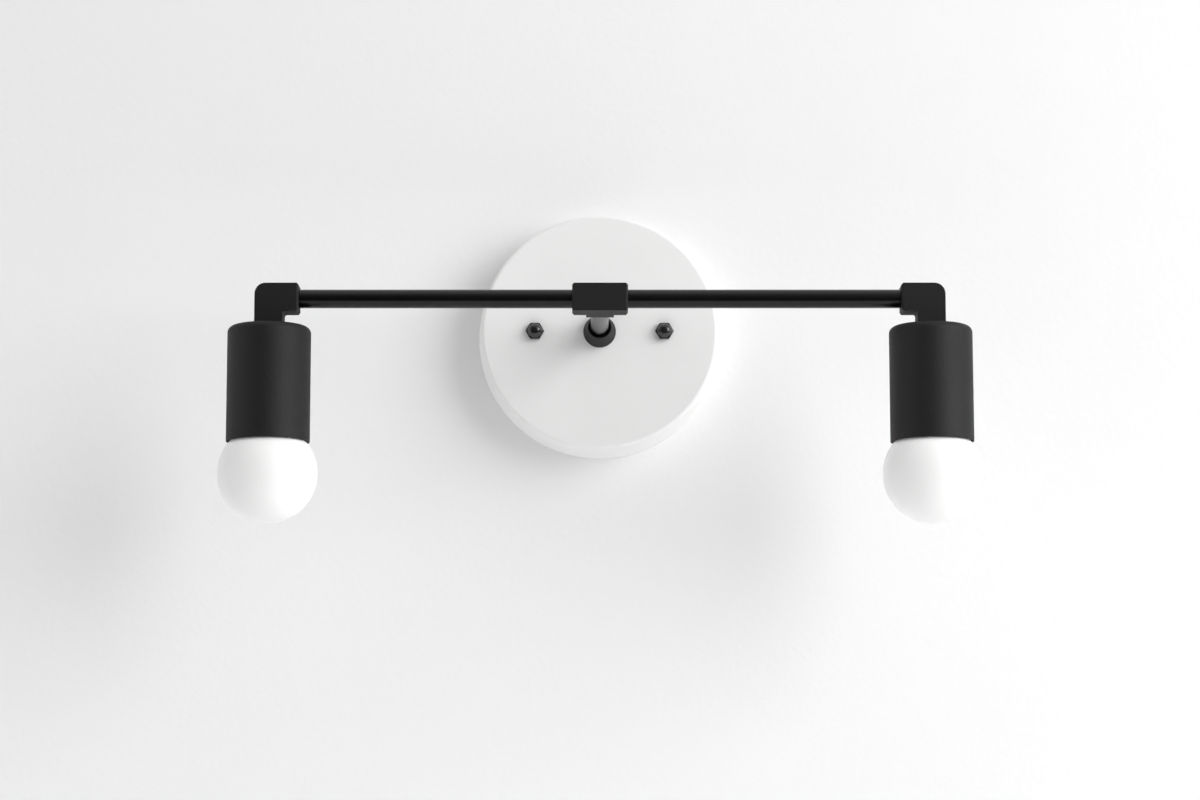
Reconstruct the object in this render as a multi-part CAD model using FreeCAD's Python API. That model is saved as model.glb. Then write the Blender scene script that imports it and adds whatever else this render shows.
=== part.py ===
import FreeCAD, Part
import math
import os

from FreeCAD import Vector

# Vanity light with two hanging lamp cups, in millimetres.
# X runs to the right, +Y goes into the wall and Z is up.
# The origin is the centre of the mounting bar on the wall plane.
# A distance named "out" is measured from the wall plane towards the room, which is -Y.

# Fits
thread_gap = 0.05
slip_gap = 0.3
cut_overrun = 1.0
touch_tolerance = 0.001

# Rounded corners of turned pieces are a few short cones
corner_steps = 3
dome_steps = 3

# Canopy, a spun pan that covers the wall box
canopy_rim_radius = 65.9
canopy_face_radius = 63.7
canopy_depth = 25.8
canopy_wall = 1.2
canopy_edge_radius = 1.6

# Mounting bar, a flat strap on the wall box
bar_end_margin = 3.05
bar_width = 19.0
bar_thickness = 2.0
bar_corner_radius = 3.0
bar_centre_hole_radius = 5.15
box_screw_spacing = 88.9
box_slot_half_width = 2.4
box_slot_length = 9.0

# Canopy studs and their nuts
stud_spacing = 69.85
stud_radius = 2.08
stud_nut_reach = 3.3
stud_nut_flats = 8.73
stud_lock_nut_height = 3.1
cap_nut_hex_height = 3.2
cap_nut_shoulder = 0.45
cap_nut_dome_height = 3.1
cap_nut_tip_radius = 1.1
cap_nut_bore_spare = 0.7

# Ground screw and its bare lead
ground_screw_x = -20.0
ground_screw_radius = 2.38
ground_head_radius = 4.4
ground_head_height = 2.2
ground_screw_point = 3.0
ground_eye_radius = 5.2
ground_eye_thickness = 0.8
ground_lead_radius = 0.8
ground_lead_drop = 17.0
ground_lead_side_run = 16.0
ground_lead_bend = 4.0

# Round tube of the arms, the stem and the nipples
tube_radius = 4.7625
tube_bore_radius = 3.4
thread_length = 6.35

# Seating ring between the canopy and the stem
ring_length = 15.65
ring_base_radius = 8.85
ring_front_radius = 6.25
ring_lip = 0.3
ring_recess_depth = 3.2

# Stem fastening inside the canopy
stem_tail = 1.7
stem_nut_flats = 14.3
stem_nut_height = 3.0
stem_washer_radius = 8.2
stem_washer_thickness = 0.9

# Square armature fittings
fitting_side = 14.29
fitting_end_chamfer = 0.9
fitting_passage_radius = 4.2
arm_axis_out = 124.5
tee_half_width = 14.2
tee_rear_reach = 15.0
cup_axis_x = 168.3
elbow_side_reach = 15.1
elbow_down_reach = 14.4
elbow_outer_radius = 5.6
elbow_inner_radius = 1.2

# Lamp cup
cup_radius = 21.2
cup_rim_gap = 0.87
cup_wall = 1.0
cup_edge_radius = 3.5

# Nipple, washer and nut inside the cup
cup_nut_flats = 14.3
cup_nut_height = 3.0
cup_washer_radius = 8.2
cup_washer_thickness = 0.9
nipple_tail = 1.5

# Bracket that carries the lamp socket
bracket_width = 12.0
bracket_sheet = 1.5
bracket_inset = 1.7
bracket_height = 11.6
bracket_hub_radius = 6.8
bracket_hub_height = 1.2

# Lamp socket
socket_skirt_wall = 1.45
socket_length = 30.0
socket_floor = 4.2
socket_shell_wall = 0.4
socket_shell_length = 24.6
contact_plate_radius = 5.8
contact_plate_gap = 1.7
contact_sheet = 0.5
contact_button_radius = 2.6
contact_button_drop = 1.2
contact_post_radius = 1.5
terminal_sheet = 0.8
terminal_width = 6.0
hot_screw_y = 9.0
neutral_screw_y = 7.6
terminal_end_margin = 3.4
neutral_post_step = 3.8
small_screw_radius = 1.4
small_screw_floor_left = 1.0
terminal_head_radius = 3.0
terminal_head_height = 1.8
bracket_head_radius = 2.6
bracket_head_height = 1.6

# Bulb
bulb_length = 78.0
globe_radius_share = 0.32436
glass_wall = 0.9
glass_sides = 32
glass_bands = 12
glass_inner_bands = 6
glass_shoulder_radius = 16.0
glass_neck_step = 0.4
glass_neck_length = 6.0
glass_cement_gap = 0.45
base_shell_radius = 13.1
bulb_thread_gap = 0.2
base_shell_wall = 0.35
base_shell_length = 23.0
base_shoulder_radius = 9.6
base_shoulder_height = 1.4
insulator_tip_radius = 5.0
insulator_height = 2.9
tip_radius = 4.6
tip_crown_radius = 2.4
tip_height = 1.5
tip_gap = 0.2
mount_stem_radius = 4.2
mount_pinch_radius = 2.2
mount_stem_length = 26.0
filament_wire_radius = 0.4
filament_coil_radius = 0.5
filament_spread = 8.0
filament_reach = 9.0
filament_leg_offset = 1.2

# Insulated leads
lead_radius = 1.0
lead_terminal_bend = 4.0
lead_elbow_bend = 6.0
lead_tee_bend = 6.0
lead_canopy_bend = 6.0
lead_connector_bend = 7.0
lead_plane_out = 10.0
splice_height = 24.0

# Twist-on wire connectors
connector_mouth_radius = 5.4
connector_tip_radius = 3.2
connector_bore_radius = 2.6
connector_length = 17.0
connector_grip = 7.0
connector_start_x = 11.0

# Places and fits worked out from the sizes above
arm_y = -arm_axis_out
half_fitting = fitting_side / 2
bar_length = box_screw_spacing + box_slot_length + 2 * bar_end_margin
canopy_inner_out = canopy_depth - canopy_wall
cap_nut_dome_radius = stud_nut_flats / 2 - cap_nut_shoulder
ring_recess_radius = ring_front_radius - ring_lip
stem_nut_out = canopy_inner_out - stem_washer_thickness
stem_back_out = stem_nut_out - stem_nut_height - stem_tail
tee_back_out = arm_axis_out - tee_rear_reach
stem_front_out = tee_back_out + thread_length
elbow_end_x = cup_axis_x - elbow_side_reach
cup_top_z = -elbow_down_reach
cup_inside_z = cup_top_z - cup_wall
cup_nut_z = cup_inside_z - cup_washer_thickness
bracket_top_z = cup_nut_z - cup_nut_height
nipple_bottom_z = bracket_top_z - bracket_hub_height - bracket_sheet - nipple_tail
socket_top_z = bracket_top_z - bracket_height
socket_floor_z = socket_top_z - socket_floor
screw_point_z = socket_floor_z + small_screw_floor_left
socket_shell_bore = base_shell_radius + bulb_thread_gap
socket_shell_radius = socket_shell_bore + socket_shell_wall
socket_bore = socket_shell_radius + thread_gap
socket_radius = socket_bore + socket_skirt_wall
bracket_half_span = socket_radius - bracket_inset
bracket_screw_x = bracket_half_span - bracket_sheet - bracket_head_radius - slip_gap
terminal_top_z = socket_top_z + terminal_sheet
neutral_post_y = neutral_screw_y + neutral_post_step
contact_bottom_z = socket_floor_z - contact_sheet - contact_button_drop
tip_top_z = contact_bottom_z - tip_gap
insulator_top_z = tip_top_z - tip_height
base_shell_top_z = insulator_top_z - insulator_height
base_shell_bottom_z = base_shell_top_z - base_shell_length
glass_neck_radius = base_shell_radius - base_shell_wall - glass_cement_gap
glass_neck_z = base_shell_bottom_z - glass_neck_step
globe_radius = bulb_length * globe_radius_share
globe_centre_z = tip_top_z - bulb_length + globe_radius
cup_inner_radius = cup_radius - cup_wall
globe_rise = math.sqrt(globe_radius**2 - cup_inner_radius**2)
cup_bottom_z = globe_centre_z + globe_rise + cup_rim_gap
lead_offset = lead_radius + slip_gap


def arc_points(centre_r, centre_h, radius, start_deg, end_deg, steps):
    """Points (radius, height) along an arc, both ends included."""
    angles = [math.radians(start_deg + (end_deg - start_deg) * i / steps) for i in range(steps + 1)]
    return [(centre_r + radius * math.cos(a), centre_h + radius * math.sin(a)) for a in angles]


def turned(profile):
    """Solid turned about Z from (radius, height) points."""
    points = [Vector(r, 0, h) for r, h in profile]
    face = Part.Face(Part.makePolygon(points + points[:1]))
    return face.revolve(Vector(0, 0, 0), Vector(0, 0, 1), 360)


def ring(inner_radius, outer_radius, bottom, top):
    """Plain ring about Z."""
    return turned([(inner_radius, bottom), (outer_radius, bottom), (outer_radius, top), (inner_radius, top)])


def rod(radius, bottom, top):
    """Plain round bar about Z."""
    return Part.makeCylinder(radius, top - bottom, Vector(0, 0, bottom))


def block(low, high):
    """Box between two corners."""
    size = high - low
    return Part.makeBox(size.x, size.y, size.z, low)


def hexagon(flats, bottom, top):
    """Hexagonal bar about Z with corners on the X axis."""
    corner_radius = flats / math.sqrt(3)
    turns = [math.tau * i / 6 for i in range(6)]
    corners = [Vector(corner_radius * math.cos(t), corner_radius * math.sin(t), bottom) for t in turns]
    face = Part.Face(Part.makePolygon(corners + corners[:1]))
    return face.extrude(Vector(0, 0, top - bottom))


def from_wall(shape, x=0.0, z=0.0):
    """Turn a shape made about Z so that its height is measured out from the wall."""
    placed = shape.copy()
    placed.rotate(Vector(0, 0, 0), Vector(1, 0, 0), 90)
    placed.translate(Vector(x, 0, z))
    return placed


def along_x(shape, y=0.0, z=0.0):
    """Turn a shape made about Z so that its height runs along +X."""
    placed = shape.copy()
    placed.rotate(Vector(0, 0, 0), Vector(0, 1, 0), 90)
    placed.translate(Vector(0, y, z))
    return placed


def on_cup_axis(shape):
    """Move a shape made about Z onto the right cup's axis."""
    placed = shape.copy()
    placed.translate(Vector(cup_axis_x, arm_y, 0))
    return placed


def mirrored(shape):
    """The left-hand copy of a right-hand shape."""
    return shape.mirror(Vector(0, 0, 0), Vector(1, 0, 0))


def end_edges(solid, point, normal):
    """Edges that lie in the plane through a point."""
    found = []
    for edge in solid.Edges:
        if all(abs((v.Point - point).dot(normal)) < touch_tolerance for v in edge.Vertexes):
            found.append(edge)
    return found


def tube_along(points, radius, bends):
    """Round wire of straight runs that are joined by tangent arcs, one bend for each inner point."""
    pieces = []
    start = points[0]
    for i, bend in enumerate(bends):
        corner = points[i + 1]
        back = (points[i] - corner).normalize()
        ahead = (points[i + 2] - corner).normalize()
        turn = math.pi - back.getAngle(ahead)
        reach = bend * math.tan(turn / 2)
        first = corner + back * reach
        centre = corner + (back + ahead).normalize() * (bend / math.cos(turn / 2))
        pieces.append(Part.makeCylinder(radius, (first - start).Length, start, first - start))
        section = Part.Face(Part.Wire(Part.makeCircle(radius, first, back)))
        pieces.append(section.revolve(centre, ahead.cross(back), math.degrees(turn)))
        start = corner + ahead * reach
    pieces.append(Part.makeCylinder(radius, (points[-1] - start).Length, start, points[-1] - start))
    return pieces[0].fuse(pieces[1:])


def faceted_turning(profile, sides):
    """Closed solid of flat faces about Z from (radius, height) points that start and end on the axis."""
    rings = []
    for r, h in profile:
        if r == 0:
            rings.append([Vector(0, 0, h)] * sides)
            continue
        turns = [math.tau * i / sides for i in range(sides)]
        rings.append([Vector(r * math.cos(t), r * math.sin(t), h) for t in turns])
    faces = []
    for lower, upper in zip(rings, rings[1:]):
        for i in range(sides):
            j = (i + 1) % sides
            corners = []
            for point in (lower[i], lower[j], upper[j], upper[i]):
                if point not in corners:
                    corners.append(point)
            faces.append(Part.Face(Part.makePolygon(corners + corners[:1])))
    return Part.makeSolid(Part.makeShell(faces))


def mounting_bar():
    """Flat strap with two slots for the box, two tapped stud holes and a ground hole."""
    half_length = bar_length / 2
    half_width = bar_width / 2
    bar = block(Vector(-half_length, -bar_thickness, -half_width), Vector(half_length, 0, half_width))
    corners = [e for e in bar.Edges if abs(e.Vertexes[0].Y - e.Vertexes[1].Y) > touch_tolerance]
    bar = bar.makeFillet(bar_corner_radius, corners)
    holes = [(0, bar_centre_hole_radius)]
    holes += [(side * stud_spacing / 2, stud_radius + thread_gap) for side in (-1, 1)]
    holes.append((ground_screw_x, ground_screw_radius + thread_gap))
    for x, radius in holes:
        bar = bar.cut(from_wall(rod(radius, -cut_overrun, bar_thickness + cut_overrun), x))
    straight = box_slot_length / 2 - box_slot_half_width
    for side in (-1, 1):
        centre = side * box_screw_spacing / 2
        slot = block(
            Vector(centre - straight, -bar_thickness - cut_overrun, -box_slot_half_width),
            Vector(centre + straight, cut_overrun, box_slot_half_width),
        )
        for end in (-straight, straight):
            round_end = rod(box_slot_half_width, -cut_overrun, bar_thickness + cut_overrun)
            slot = slot.fuse(from_wall(round_end, centre + end))
        bar = bar.cut(slot.removeSplitter())
    return bar


def canopy():
    """Shallow spun pan, open to the wall, with a centre hole and two stud holes."""
    draft = math.degrees(math.atan2(canopy_rim_radius - canopy_face_radius, canopy_depth))
    edge = arc_points(
        canopy_face_radius - canopy_edge_radius,
        canopy_depth - canopy_edge_radius,
        canopy_edge_radius,
        draft,
        90,
        corner_steps,
    )
    hole = tube_radius + slip_gap
    inner_face_radius = canopy_face_radius - canopy_wall
    profile = [(hole, canopy_inner_out), (inner_face_radius - canopy_wall, canopy_inner_out)]
    profile += [(inner_face_radius, canopy_inner_out - canopy_wall)]
    profile += [(canopy_rim_radius - canopy_wall, 0), (canopy_rim_radius, 0)]
    profile += edge + [(hole, canopy_depth)]
    pan = from_wall(turned(profile))
    for side in (-1, 1):
        hole_cut = rod(stud_radius + slip_gap, 0, canopy_depth + cut_overrun)
        pan = pan.cut(from_wall(hole_cut, side * stud_spacing / 2))
    return pan


def canopy_studs():
    """Headless screws from the bar out to the cap nuts."""
    stud = rod(stud_radius, 0, canopy_depth + stud_nut_reach)
    return [from_wall(stud, side * stud_spacing / 2) for side in (-1, 1)]


def stud_lock_nuts():
    """Hex nuts that lock the studs to the bar."""
    top = bar_thickness + stud_lock_nut_height
    nut = hexagon(stud_nut_flats, bar_thickness, top)
    nut = nut.cut(rod(stud_radius + thread_gap, bar_thickness - cut_overrun, top + cut_overrun))
    return [from_wall(nut, side * stud_spacing / 2) for side in (-1, 1)]


def cap_nuts():
    """Blind hex nuts with a small dome, seated on the canopy face."""
    hex_top = canopy_depth + cap_nut_hex_height
    hexagonal = hexagon(stud_nut_flats, canopy_depth, hex_top)
    spread = cap_nut_dome_radius - cap_nut_tip_radius
    dome = [(0, canopy_depth)]
    for i in range(dome_steps + 1):
        angle = math.radians(90 * i / dome_steps)
        rise = cap_nut_dome_height * math.sin(angle)
        dome.append((cap_nut_tip_radius + spread * math.cos(angle), hex_top + rise))
    dome.append((0, hex_top + cap_nut_dome_height))
    nut = hexagonal.fuse(turned(dome)).removeSplitter()
    bore_top = canopy_depth + stud_nut_reach + cap_nut_bore_spare
    nut = nut.cut(rod(stud_radius + thread_gap, canopy_depth - cut_overrun, bore_top))
    return [from_wall(nut, side * stud_spacing / 2) for side in (-1, 1)]


def ground_screw():
    """Round-headed screw that clamps the ground lead's eye to the bar."""
    head_bottom = bar_thickness + ground_eye_thickness
    head_top = head_bottom + ground_head_height
    profile = [(0, -ground_screw_point), (ground_screw_radius, -ground_screw_point)]
    profile += [(ground_screw_radius, head_bottom), (ground_head_radius, head_bottom)]
    profile += [(ground_head_radius, head_top), (0, head_top)]
    return from_wall(turned(profile), ground_screw_x)


def ground_lead():
    """Bare lead with an eye under the ground screw."""
    eye = ring(
        ground_screw_radius + thread_gap,
        ground_eye_radius,
        bar_thickness,
        bar_thickness + ground_eye_thickness,
    )
    eye = from_wall(eye, ground_screw_x)
    flat_y = -bar_thickness - ground_lead_radius
    start_z = -ground_head_radius - slip_gap
    low_z = start_z - ground_lead_drop
    points = [
        Vector(ground_screw_x, flat_y, start_z),
        Vector(ground_screw_x, flat_y, low_z),
        Vector(ground_screw_x - ground_lead_side_run, flat_y, low_z),
    ]
    return eye.fuse(tube_along(points, ground_lead_radius, [ground_lead_bend]))


def seating_ring():
    """Tapered collar that seats the stem on the canopy, recessed at its front."""
    bore = tube_radius + thread_gap
    front = canopy_depth + ring_length
    profile = [(bore, canopy_depth), (ring_base_radius, canopy_depth), (ring_front_radius, front)]
    profile += [(ring_recess_radius, front), (ring_recess_radius, front - ring_recess_depth)]
    profile += [(bore, front - ring_recess_depth)]
    return from_wall(turned(profile))


def stem_tube():
    """Hollow stem from inside the canopy to the tee."""
    return from_wall(ring(tube_bore_radius, tube_radius, stem_back_out, stem_front_out))


def stem_lock_washer():
    """Washer under the stem's nut, inside the canopy."""
    return from_wall(ring(tube_radius + slip_gap, stem_washer_radius, stem_nut_out, canopy_inner_out))


def stem_lock_nut():
    """Thin nut that clamps the canopy to the seating ring."""
    bottom = stem_nut_out - stem_nut_height
    nut = hexagon(stem_nut_flats, bottom, stem_nut_out)
    bore = rod(tube_radius + thread_gap, bottom - cut_overrun, stem_nut_out + cut_overrun)
    return from_wall(nut.cut(bore))


def threaded_passage(length):
    """Stepped drill shape that enters a fitting at height 0 and runs up to its cross bore."""
    tapped = rod(tube_radius + thread_gap, -cut_overrun, thread_length)
    return tapped.fuse(rod(fitting_passage_radius, 0, length))


def tee_fitting():
    """Square block bored for both arms, with a square leg to the stem."""
    low = Vector(-tee_half_width, arm_y - half_fitting, -half_fitting)
    high = Vector(tee_half_width, arm_y + half_fitting, half_fitting)
    body = block(low, high)
    leg_end = -tee_back_out
    leg = block(Vector(-half_fitting, arm_y, -half_fitting), Vector(half_fitting, leg_end, half_fitting))
    body = body.fuse(leg).removeSplitter()
    edges = []
    for side in (-1, 1):
        edges += end_edges(body, Vector(side * tee_half_width, 0, 0), Vector(1, 0, 0))
    edges += end_edges(body, Vector(0, leg_end, 0), Vector(0, 1, 0))
    body = body.makeChamfer(fitting_end_chamfer, edges)
    drill = threaded_passage(tee_half_width)
    right = along_x(drill, arm_y)
    right.translate(Vector(-tee_half_width, 0, 0))
    rear = from_wall(threaded_passage(tee_rear_reach))
    rear.translate(Vector(0, leg_end, 0))
    return body.cut(right).cut(mirrored(right)).cut(rear)


def elbow_fitting():
    """Right-hand square elbow with a rounded outer corner, bored from both ends."""
    outer_x = cup_axis_x + half_fitting
    inner_x = cup_axis_x - half_fitting
    corner_x = outer_x - elbow_outer_radius
    corner_z = half_fitting - elbow_outer_radius
    half_turn = math.sqrt(0.5)
    inside_x = inner_x - elbow_inner_radius
    inside_z = -half_fitting - elbow_inner_radius
    y = arm_y - half_fitting

    def at(x, z):
        return Vector(x, y, z)

    outer_arc = Part.Arc(
        at(corner_x, half_fitting),
        at(corner_x + elbow_outer_radius * half_turn, corner_z + elbow_outer_radius * half_turn),
        at(outer_x, corner_z),
    )
    inner_arc = Part.Arc(
        at(inner_x, inside_z),
        at(inside_x + elbow_inner_radius * half_turn, inside_z + elbow_inner_radius * half_turn),
        at(inside_x, -half_fitting),
    )
    outline = Part.Wire(
        [
            Part.LineSegment(at(elbow_end_x, half_fitting), at(corner_x, half_fitting)).toShape(),
            outer_arc.toShape(),
            Part.LineSegment(at(outer_x, corner_z), at(outer_x, cup_top_z)).toShape(),
            Part.LineSegment(at(outer_x, cup_top_z), at(inner_x, cup_top_z)).toShape(),
            Part.LineSegment(at(inner_x, cup_top_z), at(inner_x, inside_z)).toShape(),
            inner_arc.toShape(),
            Part.LineSegment(at(inside_x, -half_fitting), at(elbow_end_x, -half_fitting)).toShape(),
            Part.LineSegment(at(elbow_end_x, -half_fitting), at(elbow_end_x, half_fitting)).toShape(),
        ]
    )
    body = Part.Face(outline).extrude(Vector(0, fitting_side, 0))
    edges = end_edges(body, Vector(elbow_end_x, 0, 0), Vector(1, 0, 0))
    body = body.makeChamfer(fitting_end_chamfer, edges)
    side_drill = along_x(threaded_passage(elbow_side_reach + fitting_passage_radius), arm_y)
    side_drill.translate(Vector(elbow_end_x, 0, 0))
    down_drill = on_cup_axis(threaded_passage(elbow_down_reach + fitting_passage_radius))
    down_drill.translate(Vector(0, 0, cup_top_z))
    return body.cut(side_drill).cut(down_drill)


def arm_tube():
    """Right-hand arm, screwed into the tee and the elbow."""
    start = tee_half_width - thread_length
    return along_x(ring(tube_bore_radius, tube_radius, start, elbow_end_x + thread_length), arm_y)


def lamp_cup():
    """Straight drawn cup, closed at its top but for the nipple's hole."""
    hole = tube_radius + slip_gap
    inner_corner = cup_edge_radius - cup_wall
    edge_r = cup_radius - cup_edge_radius
    edge_z = cup_top_z - cup_edge_radius
    profile = [(hole, cup_inside_z), (cup_inner_radius - inner_corner, cup_inside_z)]
    profile += [(cup_inner_radius, cup_inside_z - inner_corner), (cup_inner_radius, cup_bottom_z)]
    profile += [(cup_radius, cup_bottom_z)]
    profile += arc_points(edge_r, edge_z, cup_edge_radius, 0, 90, corner_steps)
    profile += [(hole, cup_top_z)]
    return on_cup_axis(turned(profile))


def cup_nipple():
    """Threaded tube that joins the elbow, the cup and the socket bracket."""
    return on_cup_axis(ring(tube_bore_radius, tube_radius, nipple_bottom_z, cup_top_z + thread_length))


def cup_lock_washer():
    """Washer under the cup's nut."""
    return on_cup_axis(ring(tube_radius + slip_gap, cup_washer_radius, cup_nut_z, cup_inside_z))


def cup_lock_nut():
    """Thin nut that clamps the cup to the elbow."""
    nut = hexagon(cup_nut_flats, bracket_top_z, cup_nut_z)
    bore = rod(tube_radius + thread_gap, bracket_top_z - cut_overrun, cup_nut_z + cut_overrun)
    return on_cup_axis(nut.cut(bore))


def socket_bracket():
    """Bent strap with a tapped hub above and two feet on the socket."""
    half = bracket_width / 2
    web_top = bracket_top_z - bracket_hub_height
    web = block(
        Vector(-bracket_half_span, -half, web_top - bracket_sheet), Vector(bracket_half_span, half, web_top)
    )
    strap = web.fuse(rod(bracket_hub_radius, web_top - bracket_sheet, bracket_top_z))
    for side in (-1, 1):
        outer = side * bracket_half_span
        inner = outer - side * bracket_sheet
        toe = side * (bracket_screw_x - bracket_head_radius - slip_gap)
        leg_low = Vector(min(outer, inner), -half, socket_top_z)
        leg = block(leg_low, Vector(max(outer, inner), half, web_top))
        foot_high = Vector(max(outer, toe), half, socket_top_z + bracket_sheet)
        foot = block(Vector(min(outer, toe), -half, socket_top_z), foot_high)
        hole = rod(small_screw_radius + slip_gap, socket_top_z - cut_overrun, socket_top_z + bracket_height / 2)
        hole.translate(Vector(side * bracket_screw_x, 0, 0))
        strap = strap.fuse(leg).fuse(foot).cut(hole)
    hub_bore = rod(tube_radius + thread_gap, web_top - bracket_sheet - cut_overrun, bracket_top_z + cut_overrun)
    return on_cup_axis(strap.cut(hub_bore).removeSplitter())


def small_screw(seat_z, head_radius, head_height, x=0.0, y=0.0):
    """Small round-headed screw whose point is in the socket body."""
    profile = [(0, screw_point_z), (small_screw_radius, screw_point_z)]
    profile += [(small_screw_radius, seat_z), (head_radius, seat_z)]
    profile += [(head_radius, seat_z + head_height), (0, seat_z + head_height)]
    screw = turned(profile)
    screw.translate(Vector(x, y, 0))
    return on_cup_axis(screw)


def bracket_screws():
    """Two screws that hold the bracket's feet to the socket."""
    seat = socket_top_z + bracket_sheet
    return [
        small_screw(seat, bracket_head_radius, bracket_head_height, side * bracket_screw_x) for side in (-1, 1)
    ]


def terminal_screws():
    """The hot and the neutral terminal screw."""
    return [
        small_screw(terminal_top_z, terminal_head_radius, terminal_head_height, 0, -hot_screw_y),
        small_screw(terminal_top_z, terminal_head_radius, terminal_head_height, 0, neutral_screw_y),
    ]


def socket_body():
    """Moulded socket with a thick floor and a skirt around the screw shell."""
    bottom = socket_top_z - socket_length
    profile = [(0, socket_floor_z), (socket_bore, socket_floor_z), (socket_bore, bottom)]
    profile += [(socket_radius, bottom)]
    profile += [(socket_radius, socket_top_z), (0, socket_top_z)]
    body = turned(profile)
    screw_places = [(side * bracket_screw_x, 0) for side in (-1, 1)]
    screw_places += [(0, -hot_screw_y), (0, neutral_screw_y)]
    for x, y in screw_places:
        hole = rod(small_screw_radius + thread_gap, screw_point_z, socket_top_z + cut_overrun)
        hole.translate(Vector(x, y, 0))
        body = body.cut(hole)
    for y in (0, neutral_post_y):
        hole = rod(contact_post_radius + thread_gap, socket_floor_z - cut_overrun, socket_top_z + cut_overrun)
        hole.translate(Vector(0, y, 0))
        body = body.cut(hole)
    return on_cup_axis(body)


def screw_shell():
    """Thin shell that takes the bulb's thread, with a holed end under the socket's floor."""
    hole = contact_plate_radius + contact_plate_gap
    end_z = socket_floor_z - socket_shell_wall
    bottom = socket_floor_z - socket_shell_length
    profile = [(hole, socket_floor_z), (hole, end_z), (socket_shell_bore, end_z), (socket_shell_bore, bottom)]
    profile += [(socket_shell_radius, bottom), (socket_shell_radius, socket_floor_z)]
    return on_cup_axis(turned(profile))


def terminal_plate(first_y, last_y, screw_y):
    """Flat tab on the socket's top with a hole for its screw."""
    half = terminal_width / 2
    tab = block(Vector(-half, first_y, socket_top_z), Vector(half, last_y, terminal_top_z))
    hole = rod(small_screw_radius + thread_gap, socket_top_z - cut_overrun, terminal_top_z + cut_overrun)
    hole.translate(Vector(0, screw_y, 0))
    return tab.cut(hole)


def centre_contact():
    """Button under the bulb's tip, with its post and hot terminal."""
    plate_bottom = socket_floor_z - contact_sheet
    profile = [(0, contact_bottom_z), (contact_button_radius / 2, contact_bottom_z)]
    profile += [(contact_button_radius, plate_bottom), (contact_plate_radius, plate_bottom)]
    profile += [(contact_plate_radius, socket_floor_z), (contact_post_radius, socket_floor_z)]
    profile += [(contact_post_radius, socket_top_z), (0, socket_top_z)]
    tab = terminal_plate(-hot_screw_y - terminal_end_margin, contact_post_radius, -hot_screw_y)
    return on_cup_axis(turned(profile).fuse(tab).removeSplitter())


def shell_terminal():
    """Neutral terminal whose post stands on the screw shell's end."""
    post = rod(contact_post_radius, socket_floor_z, socket_top_z)
    post.translate(Vector(0, neutral_post_y, 0))
    tab = terminal_plate(
        neutral_screw_y - terminal_end_margin, neutral_post_y + contact_post_radius, neutral_screw_y
    )
    return on_cup_axis(tab.fuse(post).removeSplitter())


def bulb_glass():
    """Hollow opal globe with a short neck, in flat facets that lie on the true globe."""
    shoulder = math.degrees(math.acos(glass_shoulder_radius / globe_radius))
    outer = arc_points(0, globe_centre_z, globe_radius, -90, shoulder, glass_bands)
    inner_radius = globe_radius - glass_wall
    inner = arc_points(0, globe_centre_z, inner_radius, -90, shoulder, glass_inner_bands)
    neck_top = glass_neck_z + glass_neck_length
    neck_inner = glass_neck_radius - glass_wall
    outer[0] = (0, globe_centre_z - globe_radius)
    inner[0] = (0, globe_centre_z - inner_radius)
    profile = outer + [(glass_neck_radius, glass_neck_z), (glass_neck_radius, neck_top)]
    profile += [(neck_inner, neck_top), (neck_inner, glass_neck_z)] + inner[::-1]
    return on_cup_axis(faceted_turning(profile, glass_sides))


def bulb_base_shell():
    """Thin metal base with a turned-in upper shoulder."""
    inner = base_shell_radius - base_shell_wall
    shoulder_z = base_shell_top_z - base_shoulder_height
    profile = [(base_shoulder_radius - base_shell_wall, base_shell_top_z), (inner, shoulder_z)]
    profile += [(inner, base_shell_bottom_z), (base_shell_radius, base_shell_bottom_z)]
    profile += [(base_shell_radius, shoulder_z), (base_shoulder_radius, base_shell_top_z)]
    return on_cup_axis(turned(profile))


def bulb_insulator():
    """Dark glass cone between the shell and the tip."""
    profile = [(0, base_shell_top_z), (base_shoulder_radius, base_shell_top_z)]
    profile += [(insulator_tip_radius, insulator_top_z), (0, insulator_top_z)]
    return on_cup_axis(turned(profile))


def bulb_tip_contact():
    """Soldered centre contact at the bulb's end."""
    profile = [(0, insulator_top_z), (tip_radius, insulator_top_z)]
    profile += [(tip_crown_radius, tip_top_z), (0, tip_top_z)]
    return on_cup_axis(turned(profile))


def bulb_glass_mount():
    """Glass stem that carries the filament, standing down from the insulator."""
    bottom = base_shell_top_z - mount_stem_length
    profile = [(0, bottom), (mount_pinch_radius, bottom), (mount_stem_radius, base_shell_top_z)]
    profile += [(0, base_shell_top_z)]
    return on_cup_axis(turned(profile))


def bulb_filament():
    """Coiled bar across the globe on two wires from the glass stem."""
    top = base_shell_top_z - mount_stem_length - slip_gap
    low = top - filament_reach
    left = Vector(-filament_spread, 0, low)
    right = Vector(filament_spread, 0, low)
    wire = Part.makeCylinder(filament_coil_radius, (right - left).Length, left, right - left)
    for side, end in ((-1, left), (1, right)):
        start = Vector(side * filament_leg_offset, 0, top)
        wire = wire.fuse(Part.makeCylinder(filament_wire_radius, (end - start).Length, start, end - start))
    return on_cup_axis(wire)


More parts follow.
